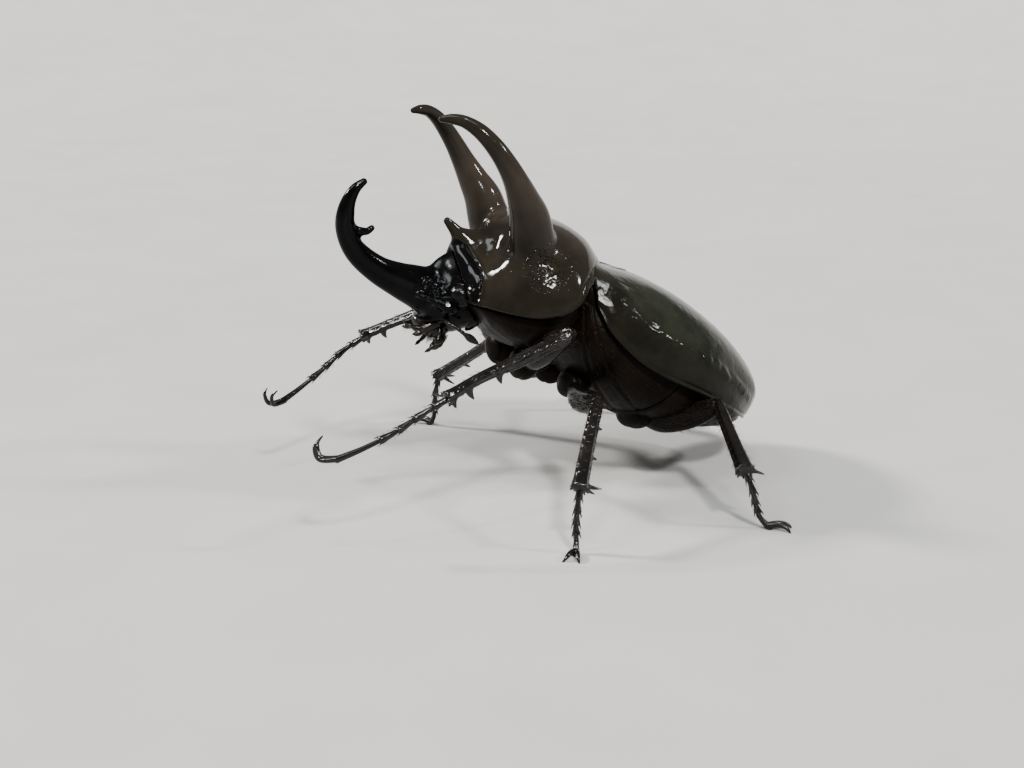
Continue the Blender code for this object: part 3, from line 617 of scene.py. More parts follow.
pronotum = {
    # crown (ahead, up), margin (side, ahead, up), keel (ahead, up)
    "stations": ((0.0, 0.0, 20.0, 8.3, -7.5, 2.0, -12.5), (1.7, 1.3, 20.8, 9.6, -9.3, 4.5, -16.0),
                 (6.0, 3.7, 21.0, 11.5, -11.2, 7.5, -19.6), (12.0, 4.5, 20.6, 14.0, -12.8, 11.0, -21.6),
                 (18.0, 3.4, 19.6, 16.8, -13.9, 15.0, -21.8), (23.0, 0.2, 17.8, 19.6, -14.7, 19.0, -20.4),
                 (26.7, -3.6, 14.6, 22.2, -15.4, 22.0, -18.6), (29.0, -6.6, 10.8, 24.6, -16.0, 25.0, -17.2)),
    "fullness": 0.95,
    "rim": 0.6,
    "hornShoulder": ((12.4, 20.5, -0.5), 4.5, 2.0),  # where it swells into a horn, how far, how high
    "frontHollow": ((6.4, 25.2, -5.2), 3.5, 2.7),
    # The collar ahead of the groove, flat-on as the head: half width, ahead, crown, margin, rounding, bulge
    "collar": (9.8, 30.6, 5.7, -3.5, 1.1, 0.6),
    # The front edge turns in round the head: how far in, how far back
    "hood": ((0.03, -0.1), (0.1, 0.3), (0.14, 1.2), (0.17, 2.6), (0.2, 4.0)),
    "cornerBulb": ((9.6, 29.3, -2.9), 1.0),
    "groove": (0.34, 0.2, 0.14),  # depth, half width, height of the ridge behind it
    "rearBands": (1.1, 2.3),  # from the rear edge to its fine lines
    "bandWidth": 0.16,
    "bandHeight": 0.07,
    "bead": 0.42,  # along the sides
    "beadWaves": (0.10, 2.6),  # height, pace
    "endBeads": (0.7, 0.6),  # along the front and rear edges, as shares of the side bead
    "grain": ((17.4, 16.9, -4.6), 3.7),  # the grainy patch on the flank
    "hollowWaves": (0.07, 2.3),  # height, size
    "grainWaves": (0.06, 0.8),
    # The horns' paler tint grows over these heights, and this share of it fades over these distances ahead
    "warm": ((-4.0, 6.0), (28.0, 37.0), 0.85),
    "voxel": 0.23,
}
sideHorn = {
    "rows": ((11.6, 16.0, -6.0, 4.7, 4.6), (12.1, 19.4, -1.5, 4.4, 4.5), (13.3, 22.5, 2.6, 3.7, 3.9),
             (14.5, 25.6, 5.3, 3.0, 3.1), (15.2, 28.8, 7.9, 2.4, 2.4), (15.0, 31.9, 10.2, 2.0, 2.0),
             (14.3, 35.0, 12.1, 1.7, 1.75), (13.0, 38.1, 13.5, 1.45, 1.5), (11.4, 40.9, 14.0, 1.2, 1.2),
             (10.0, 43.0, 13.6, 0.92, 0.98), (9.1, 44.6, 12.8, 0.58, 0.58)),
    "cut": 2.5,  # row where the horn's own piece starts
    "blend": 4.2,
}
middleHorn = {
    "rows": ((0.0, 24.4, -7.6, 4.0, 4.4), (0.0, 27.2, -6.3, 2.8, 2.9), (0.0, 29.5, -5.6, 1.6, 1.7),
             (0.0, 31.1, -4.8, 1.02, 1.1), (0.0, 32.0, -4.35, 0.82, 0.88), (0.0, 32.6, -4.1, 0.7, 0.74)),
    "cut": 1.7,
    "blend": 3.0,
}


def cutAcross(rows, row, pitch, hand=1):
    # A plane across a horn, as a point and a direction in the frame
    path, _, way, _, _ = tubeFrame(rows, np.array([float(row)]), (1, 0, 0))
    ends = np.vstack((path, path + way))
    ends[:, 0] *= hand
    ends = place(ends, pitch)
    return tuple(ends[0]), tuple(unit(ends[1] - ends[0]))


def pronotumTop(stations, turns):
    top = arches(stations[:, :2], stations[:, 2:5], turns, pronotum["fullness"])
    centre, reach, rise = pronotum["hornShoulder"]
    swell = rise * nearTo(top, centre, reach)
    centre, reach, depth = pronotum["frontHollow"]
    hollow = depth * nearTo(top, centre, reach)
    top[..., 1] += 0.4 * swell - 0.7 * hollow
    top[..., 2] += swell - 0.7 * hollow
    return top


def collarRing(turns, under):
    # The front edge, which is more like a gable than an arch
    half, ahead, crown, margin, rounding, _ = pronotum["collar"]
    side = half * np.sin(turns)
    fall = (np.hypot(side, rounding) - rounding) / (math.hypot(half, rounding) - rounding)
    top = np.stack((side, ahead - 0.5 * (side / half) ** 2, crown + (margin - crown) * fall), axis=-1)
    below = np.stack((half * np.cos(under), ahead - 0.5 + 0 * under,
                      margin - pronotum["rim"] + 0 * under), axis=-1)
    return unplace(place(np.concatenate((top, below)), level), fore)


def pronotumRings(stations, turns):
    # Rings from the rear edge to the groove, and over the collar to the front edge
    under = np.radians(np.linspace(0, 180, 40))
    below = np.stack((stations[:, 2:3] * np.cos(under), stations[:, 3:4] + 0 * under,
                      stations[:, 4:5] - pronotum["rim"] + 0 * under), axis=-1)
    rings = np.concatenate((pronotumTop(stations, turns), below), axis=1)
    groove = rings[-1]
    edge = collarRing(turns, under)
    outward = unit(groove - groove.mean(0))
    collar = [groove + (edge - groove) * share + outward * pronotum["collar"][5] * math.sin(math.pi * share)
              for share in np.linspace(0, 1, 12)[1:]]
    return np.concatenate((rings, np.array(collar)))


def pronotumBeads(top):
    # Beads along the sides, the front edge and the rear edge, with how far each is blended in
    bead = pronotum["bead"]
    last = len(pronotum["stations"]) - 1
    sideLine = np.vstack((curveAt(pronotum["stations"], np.linspace(0.1, last, 60))[:, 2:5],
                          top[[154, 157, 160], -1]))  # and on along the collar
    high, pace = pronotum["beadWaves"]
    swells = bead * (1 + high * np.sin(np.arange(len(sideLine)) * pace))
    skins = []
    for hand in (1, -1):
        rows = [(*(point - (0.1, 0, 0.25)), swell, swell) for point, swell in zip(sideLine, swells)]
        skins.append((tube(rows, fore, hand, along=420, around=14, across=(0, 0, 1), rootRound=True), 0.7))
    for line, share in zip((top[-1], top[0]), pronotum["endBeads"]):
        rows = [(*(point - (0, 0, 0.15)), share * bead, share * bead) for point in line[::4]]
        skins.append((tube(rows, fore, along=300, around=14, across=(0, 1, 0), rootRound=True), 0.6))
    return skins


def makePronotum():
    last = len(pronotum["stations"]) - 1
    stations = curveAt(pronotum["stations"], np.linspace(0, last, 150))
    turns = np.radians(np.linspace(-90, 90, 161))
    rings = pronotumRings(stations, turns)
    top = rings[:, :len(turns)]
    lip = rings[-1]
    middle = lip.mean(0)
    hood = [middle + (lip - middle) * (1 - share) - (0, back, 0) for share, back in pronotum["hood"]]
    skins = [(ringSkin(place(np.concatenate((rings, np.array(hood))), fore)), 9.0)]
    skins += pronotumBeads(top)
    centre, radius = pronotum["cornerBulb"]
    for hand in (1, -1):
        skins.append((ball(centre, (radius, 1.3 * radius, 1.2 * radius), level, hand, 30, 20), 0.9))
        skins.append((tube(sideHorn["rows"], fore, hand, along=160, around=64), sideHorn["blend"]))
    skins.append((tube(middleHorn["rows"], fore, along=70, around=40), middleHorn["blend"]))
    points, faces = fuseSkins(skins, pronotum["voxel"])
    own = unplace(points, fore)
    lines, heights, collar = edgeLines(own, top, len(stations) - 1)
    centre, reach, _ = pronotum["frontHollow"]
    high, size = pronotum["hollowWaves"]
    heights += high * ripple(own, size, 2, 4.0) * nearTo(own, centre, 1.3 * reach)
    centre, reach = pronotum["grain"]
    grain = smoothStep(0.35, 0.8, nearTo(own, centre, reach) + 0.12 * ripple(own, 1.6))
    high, size = pronotum["grainWaves"]
    heights += high * ripple(own, size, 2, 9.0) * grain
    points = points + pointNormals(points, faces) * heights[:, None]
    cuts = [(*cutAcross(sideHorn["rows"], sideHorn["cut"], fore, hand), hand) for hand in (1, -1)]
    cuts.append((*cutAcross(middleHorn["rows"], middleHorn["cut"], fore), 0))
    up, ahead, share = pronotum["warm"]
    warm = smoothStep(*up, own[:, 2]) * (1 - share * smoothStep(*ahead, own[:, 1]))
    parts = splitSkin(points, faces, cuts, {"lines": lines, "grain": grain, "black": collar, "horn": warm})
    makeParts(parts, {"pronotumShield": "pronotum", "leftSideHorn": "pronotal_horn_left",
                      "rightSideHorn": "pronotal_horn_right", "middleHorn": "pronotal_horn_middle"},
              finishes["polished"])


def edgeLines(own, top, grooveRow):
    # From each point's distance to the rear edge and to the collar's groove, the lines there and their relief
    steps = np.linalg.norm(np.diff(top, axis=0), axis=-1)
    fromRear = np.vstack((np.zeros(top.shape[1]), np.cumsum(steps, axis=0)))
    toGroove = fromRear[grooveRow] - fromRear
    count, size = top.shape[:2]
    index = np.arange(count * size).reshape(count, size)
    quads = np.stack((index[:-1, :-1], index[:-1, 1:], index[1:, 1:], index[1:, :-1]), axis=-1).reshape(-1, 4)
    tree = BVHTree.FromPolygons(top.reshape(-1, 3).tolist(), quads.tolist())
    front = np.full(len(own), 99.0)
    rear = np.full(len(own), 99.0)
    for i, point in enumerate(own.tolist()):
        hit = tree.find_nearest(point, 0.5)
        if hit[0] is None:
            continue
        row, column = divmod(hit[2], size - 1)
        corner = top[row, column]
        alongEdge, aside = top[row + 1, column] - corner, top[row, column + 1] - corner
        offset = np.array(hit[0]) - corner
        down = offset @ alongEdge / (alongEdge @ alongEdge)
        across = np.clip(offset @ aside / (aside @ aside), 0, 1)
        for found, table in ((front, toGroove), (rear, fromRear)):
            near = table[row, column] * (1 - across) + table[row, column + 1] * across
            far = table[row + 1, column] * (1 - across) + table[row + 1, column + 1] * across
            found[i] = near * (1 - down) + far * down
    depth, half, ridge = pronotum["groove"]
    lines = np.exp(-(front / half) ** 2)
    for band in pronotum["rearBands"]:
        lines = np.maximum(lines, np.exp(-((rear - band) / pronotum["bandWidth"]) ** 2))
    band = pronotum["rearBands"][0]
    heights = pronotum["bandHeight"] * (1 - smoothStep(band - 0.25, band + 0.15, rear))
    heights += ridge * np.exp(-((front - 0.7) / 0.35) ** 2) - depth * np.exp(-(front / half) ** 2)
    return lines, heights, 1 - smoothStep(-0.5, 1.6, front)


makePronotum()
print("pronotum and its horns made")


head = {
    "rows": ((0.0, 23.5, -3.9, 5.0, 6.0), (0.0, 27.0, -3.8, 6.2, 8.0), (0.0, 29.6, -3.9, 6.9, 8.0),
             (0.0, 32.2, -5.6, 7.0, 6.5), (0.0, 34.6, -6.5, 5.9, 5.4), (0.0, 36.0, -7.3, 4.3, 4.1)),
    "gable": 1.9,  # how far its upper sides are flattened
    "horn": ((0.0, 30.5, -3.6, 3.4, 5.2), (0.0, 34.8, -3.5, 3.6, 4.9), (0.0, 38.0, -2.2, 3.2, 4.2),
             (0.0, 41.4, -0.7, 2.6, 3.4), (0.0, 45.1, 1.3, 2.2, 2.75), (0.0, 48.6, 4.2, 2.0, 2.35),
             (0.0, 50.5, 6.9, 1.9, 2.1), (0.0, 51.4, 10.0, 1.8, 1.95), (0.0, 51.3, 12.6, 1.6, 1.75),
             (0.0, 50.6, 15.0, 1.3, 1.4), (0.0, 49.3, 17.1, 0.98, 1.05), (0.0, 47.6, 18.4, 0.66, 0.68)),
    "hornCut": 2.5,
    "tooth": ((0.0, 50.6, 9.4), (0.0, 47.6, 8.9), (0.0, 46.3, 9.5)),
    "toothRadii": (1.4, 0.78, 0.6),
    # The ridge from the horn's side to the bulb before the eye
    "canthus": ((2.4, 39.4, -3.0), (4.4, 37.2, -3.7), (6.0, 35.2, -4.6), (7.1, 33.5, -5.3),
                (7.5, 32.4, -5.5)),
    "canthusRadii": (0.5, 0.6, 0.8, 1.4, 0.8),
    # Brow over the eye, and the edge of the upper lip's shield
    "brow": ((4.4, 32.4, -1.4), (6.0, 30.9, -1.5), (6.6, 29.2, -1.7)),
    "browRadii": (0.6, 0.75, 0.6),
    "shieldEdge": ((-4.9, 34.6, -7.6), (-3.4, 36.7, -8.4), (0.0, 37.6, -8.7), (3.4, 36.7, -8.4),
                   (4.9, 34.6, -7.6)),
    "shieldRadii": (0.5, 0.6, 0.6, 0.6, 0.5),
    "roughSpot": ((4.4, 35.9, -2.4), 2.5, 0.3),  # the pitted sides of the horn's root: place, reach, height
    "bulbLumps": ((7.1, 33.5, -5.3), 1.2, 0.28),
    "flats": (((7.1, 33.5, -5.3), -1.2, (0.84, -0.20, 0.50), 2.1),),  # on the bulb
    "voxel": 0.2,
}
eye = {"centre": (5.9, 30.5, -3.6), "radius": 2.35}


def headHeight(share, turn):
    upper = np.maximum(-np.sin(turn), 0)
    return -head["gable"] * np.abs(np.sin(2 * turn)) * upper * smoothStep(0.0, 0.3, share)


def makeHead():
    skins = [(tube(head["rows"], level, along=70, around=72, cap=0.3, rootRound=True, shape=headHeight), 9.0),
             (tube(head["horn"], level, along=200, around=56), 3.2),
             (rod(head["tooth"], head["toothRadii"], level, along=40, around=28), 1.6)]
    for hand in (1, -1):
        skins.append((rod(head["canthus"], head["canthusRadii"], level, hand, along=60, around=28,
                          across=(0, 0, 1)), 1.0))
        skins.append((rod(head["brow"], head["browRadii"], level, hand, along=40, around=24,
                          across=(0, 0, 1), rootRound=True), 0.8))
    skins.append((rod(head["shieldEdge"], head["shieldRadii"], level, along=80, around=24,
                      across=(0, 0, 1), rootRound=True), 0.7))
    points, faces = fuseSkins(skins, head["voxel"])
    own = unplace(points, level)
    centre, reach, high = head["roughSpot"]
    rough = smoothStep(0.25, 0.8, nearTo(own, centre, reach))
    lumps = np.maximum(ripple(own, 1.5, 3), -0.4) - 0.5 * np.maximum(ripple(own, 0.8, 2, 5.0), 0)
    lumps = rough * lumps * high
    centre, reach, high = head["bulbLumps"]
    lumps += nearTo(own, centre, reach) * ripple(own, 0.8, 2, 3.0) * high
    points = points + pointNormals(points, faces) * lumps[:, None]
    for hand in (1, -1):
        points = pressFlats(points, head["flats"], level, hand)
    cuts = [(*cutAcross(head["horn"], head["hornCut"], level), 0)]
    parts = splitSkin(points, faces, cuts, {"grain": rough})
    makeParts(parts, {"headCapsule": "head", "headHorn": "head_horn"}, finishes["head"])
    for hand, side in ((1, "left"), (-1, "right")):
        skin = ball(eye["centre"], (eye["radius"],) * 3, level, hand, 72, 48)
        makePiece(side + "Eye", skin, finishes["eye"], ["eye_" + side])


makeHead()
print("head, horn and eyes made")


mouth = {
    "chin": ((0.0, 33.4, -10.6), (2.9, 2.6, 1.8)),
    "chinRows": ((0.0, 31.6, -11.4, 2.4, 1.5), (0.0, 33.4, -11.2, 2.7, 1.5), (0.0, 35.4, -10.8, 2.2, 1.3)),
    "jaw": ((2.3, 34.5, -9.0), (2.8, 37.6, -10.2), (1.6, 39.6, -9.6)),
    "jawRadii": (1.5, 1.1, 0.35),
    "jawTooth": ((2.7, 37.2, -10.2), (3.4, 38.6, -10.9), (3.5, 39.5, -10.9)),
    "longPalp": ((2.8, 33.8, -10.4), (3.9, 35.0, -13.2), (3.3, 36.9, -14.6)),
    "shortPalp": ((1.3, 32.6, -10.8), (1.6, 33.2, -13.6), (1.3, 34.6, -14.8)),
    "palpRadii": (0.65, 0.5, 0.35),
    "lip": ((-2.6, 36.2, -9.4), (0.0, 37.6, -9.0), (2.6, 36.2, -9.4)),
}
antenna = {
    "rows": ((5.0, 33.4, -7.8, 0.7, 0.7), (7.2, 33.7, -8.3, 0.45, 0.45), (8.6, 32.2, -9.3, 0.4, 0.4),
             (8.9, 30.6, -10.7, 0.45, 0.45)),
    "club": ((8.9, 30.8, -10.5), (8.8, 28.5, -12.3)),
    "leafShifts": (-0.7, 0.0, 0.7),
    "beads": 9,
}


def segmented(joints, narrow=0.72):
    # A height that pinches a palp or an antenna between its joints
    def height(share, turn):
        inside = (share * joints) % 1.0
        return -0.22 * (1 - np.sin(math.pi * inside) ** 0.45) * narrow + 0 * turn
    return height


def makeMouth():
    skins = [ball(*mouth["chin"], level, shape=lambda turn, rounds: 0.05 * np.sin(3 * rounds))]
    skins.append(rod(mouth["lip"], (0.7, 1.1, 0.7), level, along=40, around=24, rootRound=True))
    for hand in (1, -1):
        skins.append(rod(mouth["jaw"], mouth["jawRadii"], level, hand, along=50, around=32,
                         shape=lambda share, turn: 0.12 * np.cos(2 * turn) * np.sin(math.pi * share)))
        skins.append(rod(mouth["jawTooth"], (0.9, 0.6, 0.2), level, hand, along=24, around=20))
        for palp in ("longPalp", "shortPalp"):
            skins.append(rod(mouth[palp], mouth["palpRadii"], level, hand, along=60, around=20,
                             rootRound=True, shape=segmented(4)))
    makePiece("mouthPieces", joined(skins), finishes["mouth"], ["mouthparts"])


def makeAntenna(hand, side):
    skins = [tube(antenna["rows"], level, hand, along=110, around=20, rootRound=True,
                  shape=segmented(antenna["beads"], 0.6))]
    start, end = (np.array(point) for point in antenna["club"])
    for shift in antenna["leafShifts"]:
        first, final = start + (shift * 0.3, 0, 0), end + (shift, 0, 0)
        rows = ((*first, 0.3, 0.4), (*((first + final) / 2), 0.32, 0.75), (*final, 0.25, 0.35))
        skins.append(tube(rows, level, hand, along=30, around=20, rootRound=True))
    makePiece(side + "Antenna", joined(skins), finishes["mouth"], ["antenna_" + side])


makeMouth()
makeAntenna(1, "left")
makeAntenna(-1, "right")
print("mouthparts and antennae made")


hindBody = {
    "stations": ((0.3, -0.3, 18.4, 2.2, -8.6, 6.0, -13.5), (-2.5, 1.1, 20.6, -1.0, -10.4, 3.0, -16.3),
                 (-6.5, 2.7, 22.2, -5.5, -11.5, -1.0, -18.9), (-12.0, 4.3, 23.3, -11.0, -11.7, -8.0, -21.3),
                 (-18.0, 5.3, 23.5, -17.0, -10.7, -16.0, -22.0), (-25.0, 5.7, 22.6, -23.0, -9.2, -22.0, -21.2),
                 (-32.0, 5.4, 20.4, -29.5, -7.8, -28.0, -18.8), (-38.5, 4.4, 16.6, -36.0, -6.7, -34.0, -15.6),
                 (-43.5, 2.9, 11.8, -41.5, -6.0, -40.0, -12.0), (-46.5, 0.9, 7.0, -45.3, -5.4, -44.5, -8.8),
                 (-48.2, -2.2, 2.6, -47.7, -5.0, -47.0, -6.3)),
    "neck": (2.8, -2.2, 15.5, 7.0, -9.4, 9.5, -12.6),
    "fullness": 0.9,
    "shell": 1.3,
    "gap": 0.3,
    "shoulderSweep": 4.2,
    "waistOfBelly": 4.6,
    "plates": 5,
    "sideSeams": ((12.0, 9.0), (26.0, 12.0)),  # degrees from the side at the second station, and more at each
    "crossSeam": 1.05,
}
wingCase = {
    "humps": ((1.25, 58.0, 0.55, 0.8, 13.0), (7.5, 52.0, 0.5, 0.9, 14.0)),  # station, turn, height, reaches
    "sutureBead": (0.8, 0.1),  # width, depth of the groove beside it
    "sideBead": (0.7, 0.16),
    "wrinkle": 0.016,
    "dents": 0.07,
    "fold": (67.0, 4.5, 0.34),  # turn, reach and height of the fold along the flank
    "shoulderDents": ((1.2, 60.0), (1.2, 18.0), 0.22),  # station and turn, reaches, height
    # Worn flats on the shoulder: a point, how deep below it, a direction in the frame, a reach
    "flats": (((17.1, 4.4, -4.7), 0.10, (0.807, 0.234, 0.542), 2.6),
              ((19.1, 1.4, -6.25), 0.06, (0.84, -0.20, 0.50), 3.2)),
    "recess": 0.5,  # how deep the scutellum sits between them
    "front": (0.2, 2.6),  # stations over which the front tint fades
    "shadedFlank": (0.95, 1.35),  # turns over which the painted shade on the lower flank grows
}


def hindStations(places):
    found = curveAt(hindBody["stations"], np.maximum(places, 0))
    first, neck = np.array(hindBody["stations"][0]), np.array(hindBody["neck"])
    return np.where(places[:, None] < 0, first + (neck - first) * -places[:, None], found)


def backGrid(places, turns, depths):
    # The wing cases' surface, or one that lies inside it by a depth at each station
    stations = hindStations(places)
    crowns = stations[:, :2] - np.stack((0 * depths, depths), axis=-1)
    margins = stations[:, 2:5].copy()
    margins[:, 0] = np.maximum(margins[:, 0] - depths, 0.2)
    grid = arches(crowns, margins, turns, hindBody["fullness"])
    bow = np.sin(2 * np.abs(turns)) * np.exp(-np.maximum(places, 0) * 1.3)[:, None]
    grid[..., 1] += hindBody["shoulderSweep"] * bow
    return grid


def shellDepths(places):
    stations = hindStations(places)
    thin = np.minimum(0.45 * stations[:, 2], 0.6 * (stations[:, 1] - stations[:, 4]))
    return np.minimum(hindBody["shell"], thin)


def scutellumHalf(alongs):
    return scutellum["halfWidth"] * np.sqrt(np.maximum(1 - np.clip(alongs, 0, 1) ** 1.6, 0.004))


def wingCaseHeight(grid, places, turns):
    # Beads and grooves along the edges, humps at the shoulder and the end, dents and wrinkles
    arc = np.linalg.norm(np.diff(grid, axis=1), axis=-1)
    fromSuture = np.concatenate((np.zeros((len(grid), 1)), np.cumsum(arc, axis=1)), axis=1)
    toSide = fromSuture[:, -1:] - fromSuture
    degrees = np.degrees(turns)[None, :]
    height = np.zeros(grid.shape[:2])
    for station, turn, high, reach, wide in wingCase["humps"]:
        height += high * np.exp(-((places[:, None] - station) / reach) ** 2 - ((degrees - turn) / wide) ** 2)
    for distance, (width, depth) in ((fromSuture, wingCase["sutureBead"]), (toSide, wingCase["sideBead"])):
        height -= depth * np.exp(-((distance - width) / (0.33 * width)) ** 2)
        height += 0.5 * depth * np.exp(-((distance - 0.3 * width) / (0.35 * width)) ** 2)
    calm = 0.6 + 0.4 * smoothStep(25, 60, degrees + 0 * places[:, None])
    world = place(grid, hind)
    turn, reach, high = wingCase["fold"]
    lengthwise = smoothStep(0.8, 2.2, places) * (1 - smoothStep(7.0, 8.8, places))
    wander = 2.0 * ripple(world, 9.0, 2, 8.0)
    high = high * (1 + 0.7 * ripple(world, 1.9, 2, 5.0))
    height += high * lengthwise[:, None] * np.exp(-((degrees - turn - wander) / reach) ** 2)
    (station, turn), (reach, wide), high = wingCase["shoulderDents"]
    shoulder = np.exp(-((places[:, None] - station) / reach) ** 2 - ((degrees - turn) / wide) ** 2)
    height += high * shoulder * ripple(world, 2.4, 3, 6.0)
    height += wingCase["dents"] * ripple(world, 5.5, 3) * calm
    along = (scutellum["start"] - grid[..., 1]) / (scutellum["length"] + scutellum["start"])
    beside = np.abs(grid[..., 0]) - scutellumHalf(along)
    height -= wingCase["recess"] * (1 - smoothStep(0.1, 0.5, beside)) * (1 - smoothStep(0.99, 1.05, along))
    lined = world * (1.0, 0.45, 0.8)
    height += wingCase["wrinkle"] * (1 - 2 * np.abs(ripple(lined, 1.7, 3, 3.0))) * calm
    return height * np.minimum(1, np.minimum(0.15 + places / 0.3, (10 - places) / 0.5))[:, None]


def makeWingCase(hand, side):
    places = np.concatenate((np.linspace(0, 0.5, 16)[:-1], np.linspace(0.5, 10, 190)))
    turns = np.radians(90 * np.linspace(0, 1, 111) ** 0.97)
    outer = backGrid(places, turns, 0 * places)
    inner = backGrid(places, turns, shellDepths(places))
    height = wingCaseHeight(outer * (hand, 1, 1), places, turns)
    normals = gridNormals(outer)
    if normals[90, 55, 2] < 0:
        normals = -normals
    outer = outer + normals * height[..., None]
    both = np.concatenate((outer, inner[:, ::-1]), axis=1)
    both[..., 0] = (both[..., 0] + hindBody["gap"] / 2) * hand
    skin = ringSkin(pressFlats(place(both, hind), wingCase["flats"], hind, hand), strip=True)
    near = 1 - smoothStep(*wingCase["front"], places)[:, None] + 0 * both[..., 0]
    # How much painted shade each point of the lower flank carries
    low = smoothStep(*wingCase["shadedFlank"], np.concatenate((turns, turns[::-1])))[None, :] + 0 * both[..., 0]
    makePiece(side + "WingCase", skin, finishes["wingCase"], ["elytron_" + side],
              values={"front": near.ravel(), "shadedFlank": low.ravel()})


scutellum = {"halfWidth": 3.6, "length": 6.2, "start": 1.2, "thickness": 1.3, "camber": 0.012,
             "lift": (0.35, 0.05), "groove": (0.8, 0.3, 0.12)}  # distance from the edge, half width, depth


def makeScutellum():
    alongs = np.linspace(0, 1, 46)
    turns = np.linspace(0, 2 * math.pi, 64, endpoint=False)
    ahead = scutellum["start"] - (scutellum["length"] + scutellum["start"]) * alongs
    half = scutellumHalf(alongs)
    crowns = hindStations(np.maximum(-ahead / 3.0, -0.2))[:, 1]
    bulge = np.sign(np.cos(turns)) * np.abs(np.cos(turns)) ** 0.8
    side = half[:, None] * bulge
    rise = np.sign(np.sin(turns)) * np.abs(np.sin(turns)) ** 0.6
    lift = scutellum["lift"][0] + (scutellum["lift"][1] - scutellum["lift"][0]) * alongs ** 2
    up = (crowns[:, None] - scutellum["camber"] * side ** 2 + lift[:, None]
          - scutellum["thickness"] * (0.5 - 0.5 * rise))
    inside, wide, depth = scutellum["groove"]
    edge = np.exp(-((np.abs(side) - half[:, None] + inside) / wide) ** 2)
    up -= depth * edge * (rise > 0)
    grid = np.stack((side, ahead[:, None] + 0 * side, up), axis=-1)
    grid[..., 2] += 0.03 * ripple(grid, 1.2)
    makePiece("scutellumShield", ringSkin(place(grid, hind)), finishes["wingCase"], ["scutellum"])


makeWingCase(1, "left")
makeWingCase(-1, "right")
makeScutellum()
print("wing cases and scutellum made")


def coreGrid(places, belly):
    # The body under the wing cases. The belly gives a height over the plain keel at (place, turn).
    depths = shellDepths(places) + hindBody["gap"]
    stations = hindStations(places)
    top = backGrid(places, np.radians(np.linspace(-90, 90, 49)), depths)
    side = np.maximum(stations[:, 2] - depths, 0.3)[:, None]
    ahead, up = stations[:, 3:4], stations[:, 4:5]
    turns = np.linspace(0, math.pi, 112)[1:-1][None, :]
    deep = np.sin(turns)
    high = belly(places[:, None], turns)
    wide = side + high * np.abs(np.cos(turns))
    below = np.stack((wide * np.cos(turns), ahead + (stations[:, 5:6] - ahead) * deep,
                      up + (stations[:, 6:7] - up) * deep ** 0.85 - high * deep), axis=-1)
    return np.concatenate((top, below), axis=1)


def thoraxHeight(places, turns):
    # A groove along the middle, and the seams of the side plates
    down = np.degrees(turns)
    fromSide = np.minimum(down, 180 - down)
    middle = -0.25 * np.exp(-((down - 90) / 2.0) ** 2) * smoothStep(1.2, 2.0, places)
    seams = np.zeros(np.broadcast(places, turns).shape)
    for start, slope in hindBody["sideSeams"]:
        seams -= 0.28 * np.exp(-((fromSide - start - slope * (places - 1.0)) / 1.6) ** 2)
        seams += 0.16 * np.exp(-((fromSide - start - 3.4 - slope * (places - 1.0)) / 1.7) ** 2)
    crossSeam = -0.3 * np.exp(-((places - hindBody["crossSeam"] - 0.25 * np.sin(turns)) / 0.05) ** 2)
    return middle + seams + crossSeam


def abdomenHeight(places, turns):
    # Each plate laps over the next, and dips along a seam near the side
    first, last = hindBody["waistOfBelly"], len(hindBody["stations"]) - 1.1
    share = (places - first) / (last - first) * hindBody["plates"]
    inside = share % 1.0
    lap = 0.42 * smoothStep(0.0, 0.12, inside) * (1 - smoothStep(0.93, 1.0, inside)) + 0.10 * inside
    down = np.degrees(turns)
    fromSide = np.minimum(down, 180 - down)
    return lap * smoothStep(2, 14, fromSide) - 0.2 * np.exp(-((fromSide - 15) / 2.4) ** 2)


def thoraxGrid():
    return coreGrid(np.linspace(-1, hindBody["waistOfBelly"] - 0.025, 110), thoraxHeight)


def abdomenGrid():
    end = len(hindBody["stations"]) - 1.1
    return coreGrid(np.linspace(hindBody["waistOfBelly"] + 0.025, end, 150), abdomenHeight)


def makeBelly():
    for name, grid in (("thorax", thoraxGrid()), ("abdomen", abdomenGrid())):
        makePiece(name + "Plates", ringSkin(place(grid, hind)), finishes["belly"], [name])


prosternum = {"overhang": 2.2, "rim": 0.6, "gap": 0.3, "start": 0.3}


def makeProsternum():
    last = len(pronotum["stations"]) - 1
    stations = curveAt(pronotum["stations"], np.linspace(prosternum["start"], last, 90))
    side = stations[:, 2:3] - prosternum["overhang"]
    ahead = stations[:, 3:4]
    top = stations[:, 4:5] - prosternum["rim"] - prosternum["gap"]
    shares = np.linspace(1, -1, 31)[None, :]
    flat = np.stack((side * shares, ahead + 0 * shares, top + 0 * shares), axis=-1)
    turns = np.linspace(0, math.pi, 92)[1:-1][None, :]
    deep = np.sin(turns)
    below = np.stack((-side * np.cos(turns), ahead + (stations[:, 5:6] - ahead) * deep,
                      top + (stations[:, 6:7] - top) * deep ** 0.8), axis=-1)
    grid = np.concatenate((flat, below), axis=1)
    grid[:, 31:, 2] += 0.1 * ripple(grid[:, 31:], 3.0, 2)
    makePiece("prosternumPlate", ringSkin(place(grid, fore)), finishes["belly"], ["prosternum"])


makeBelly()
makeProsternum()
print("underside made")


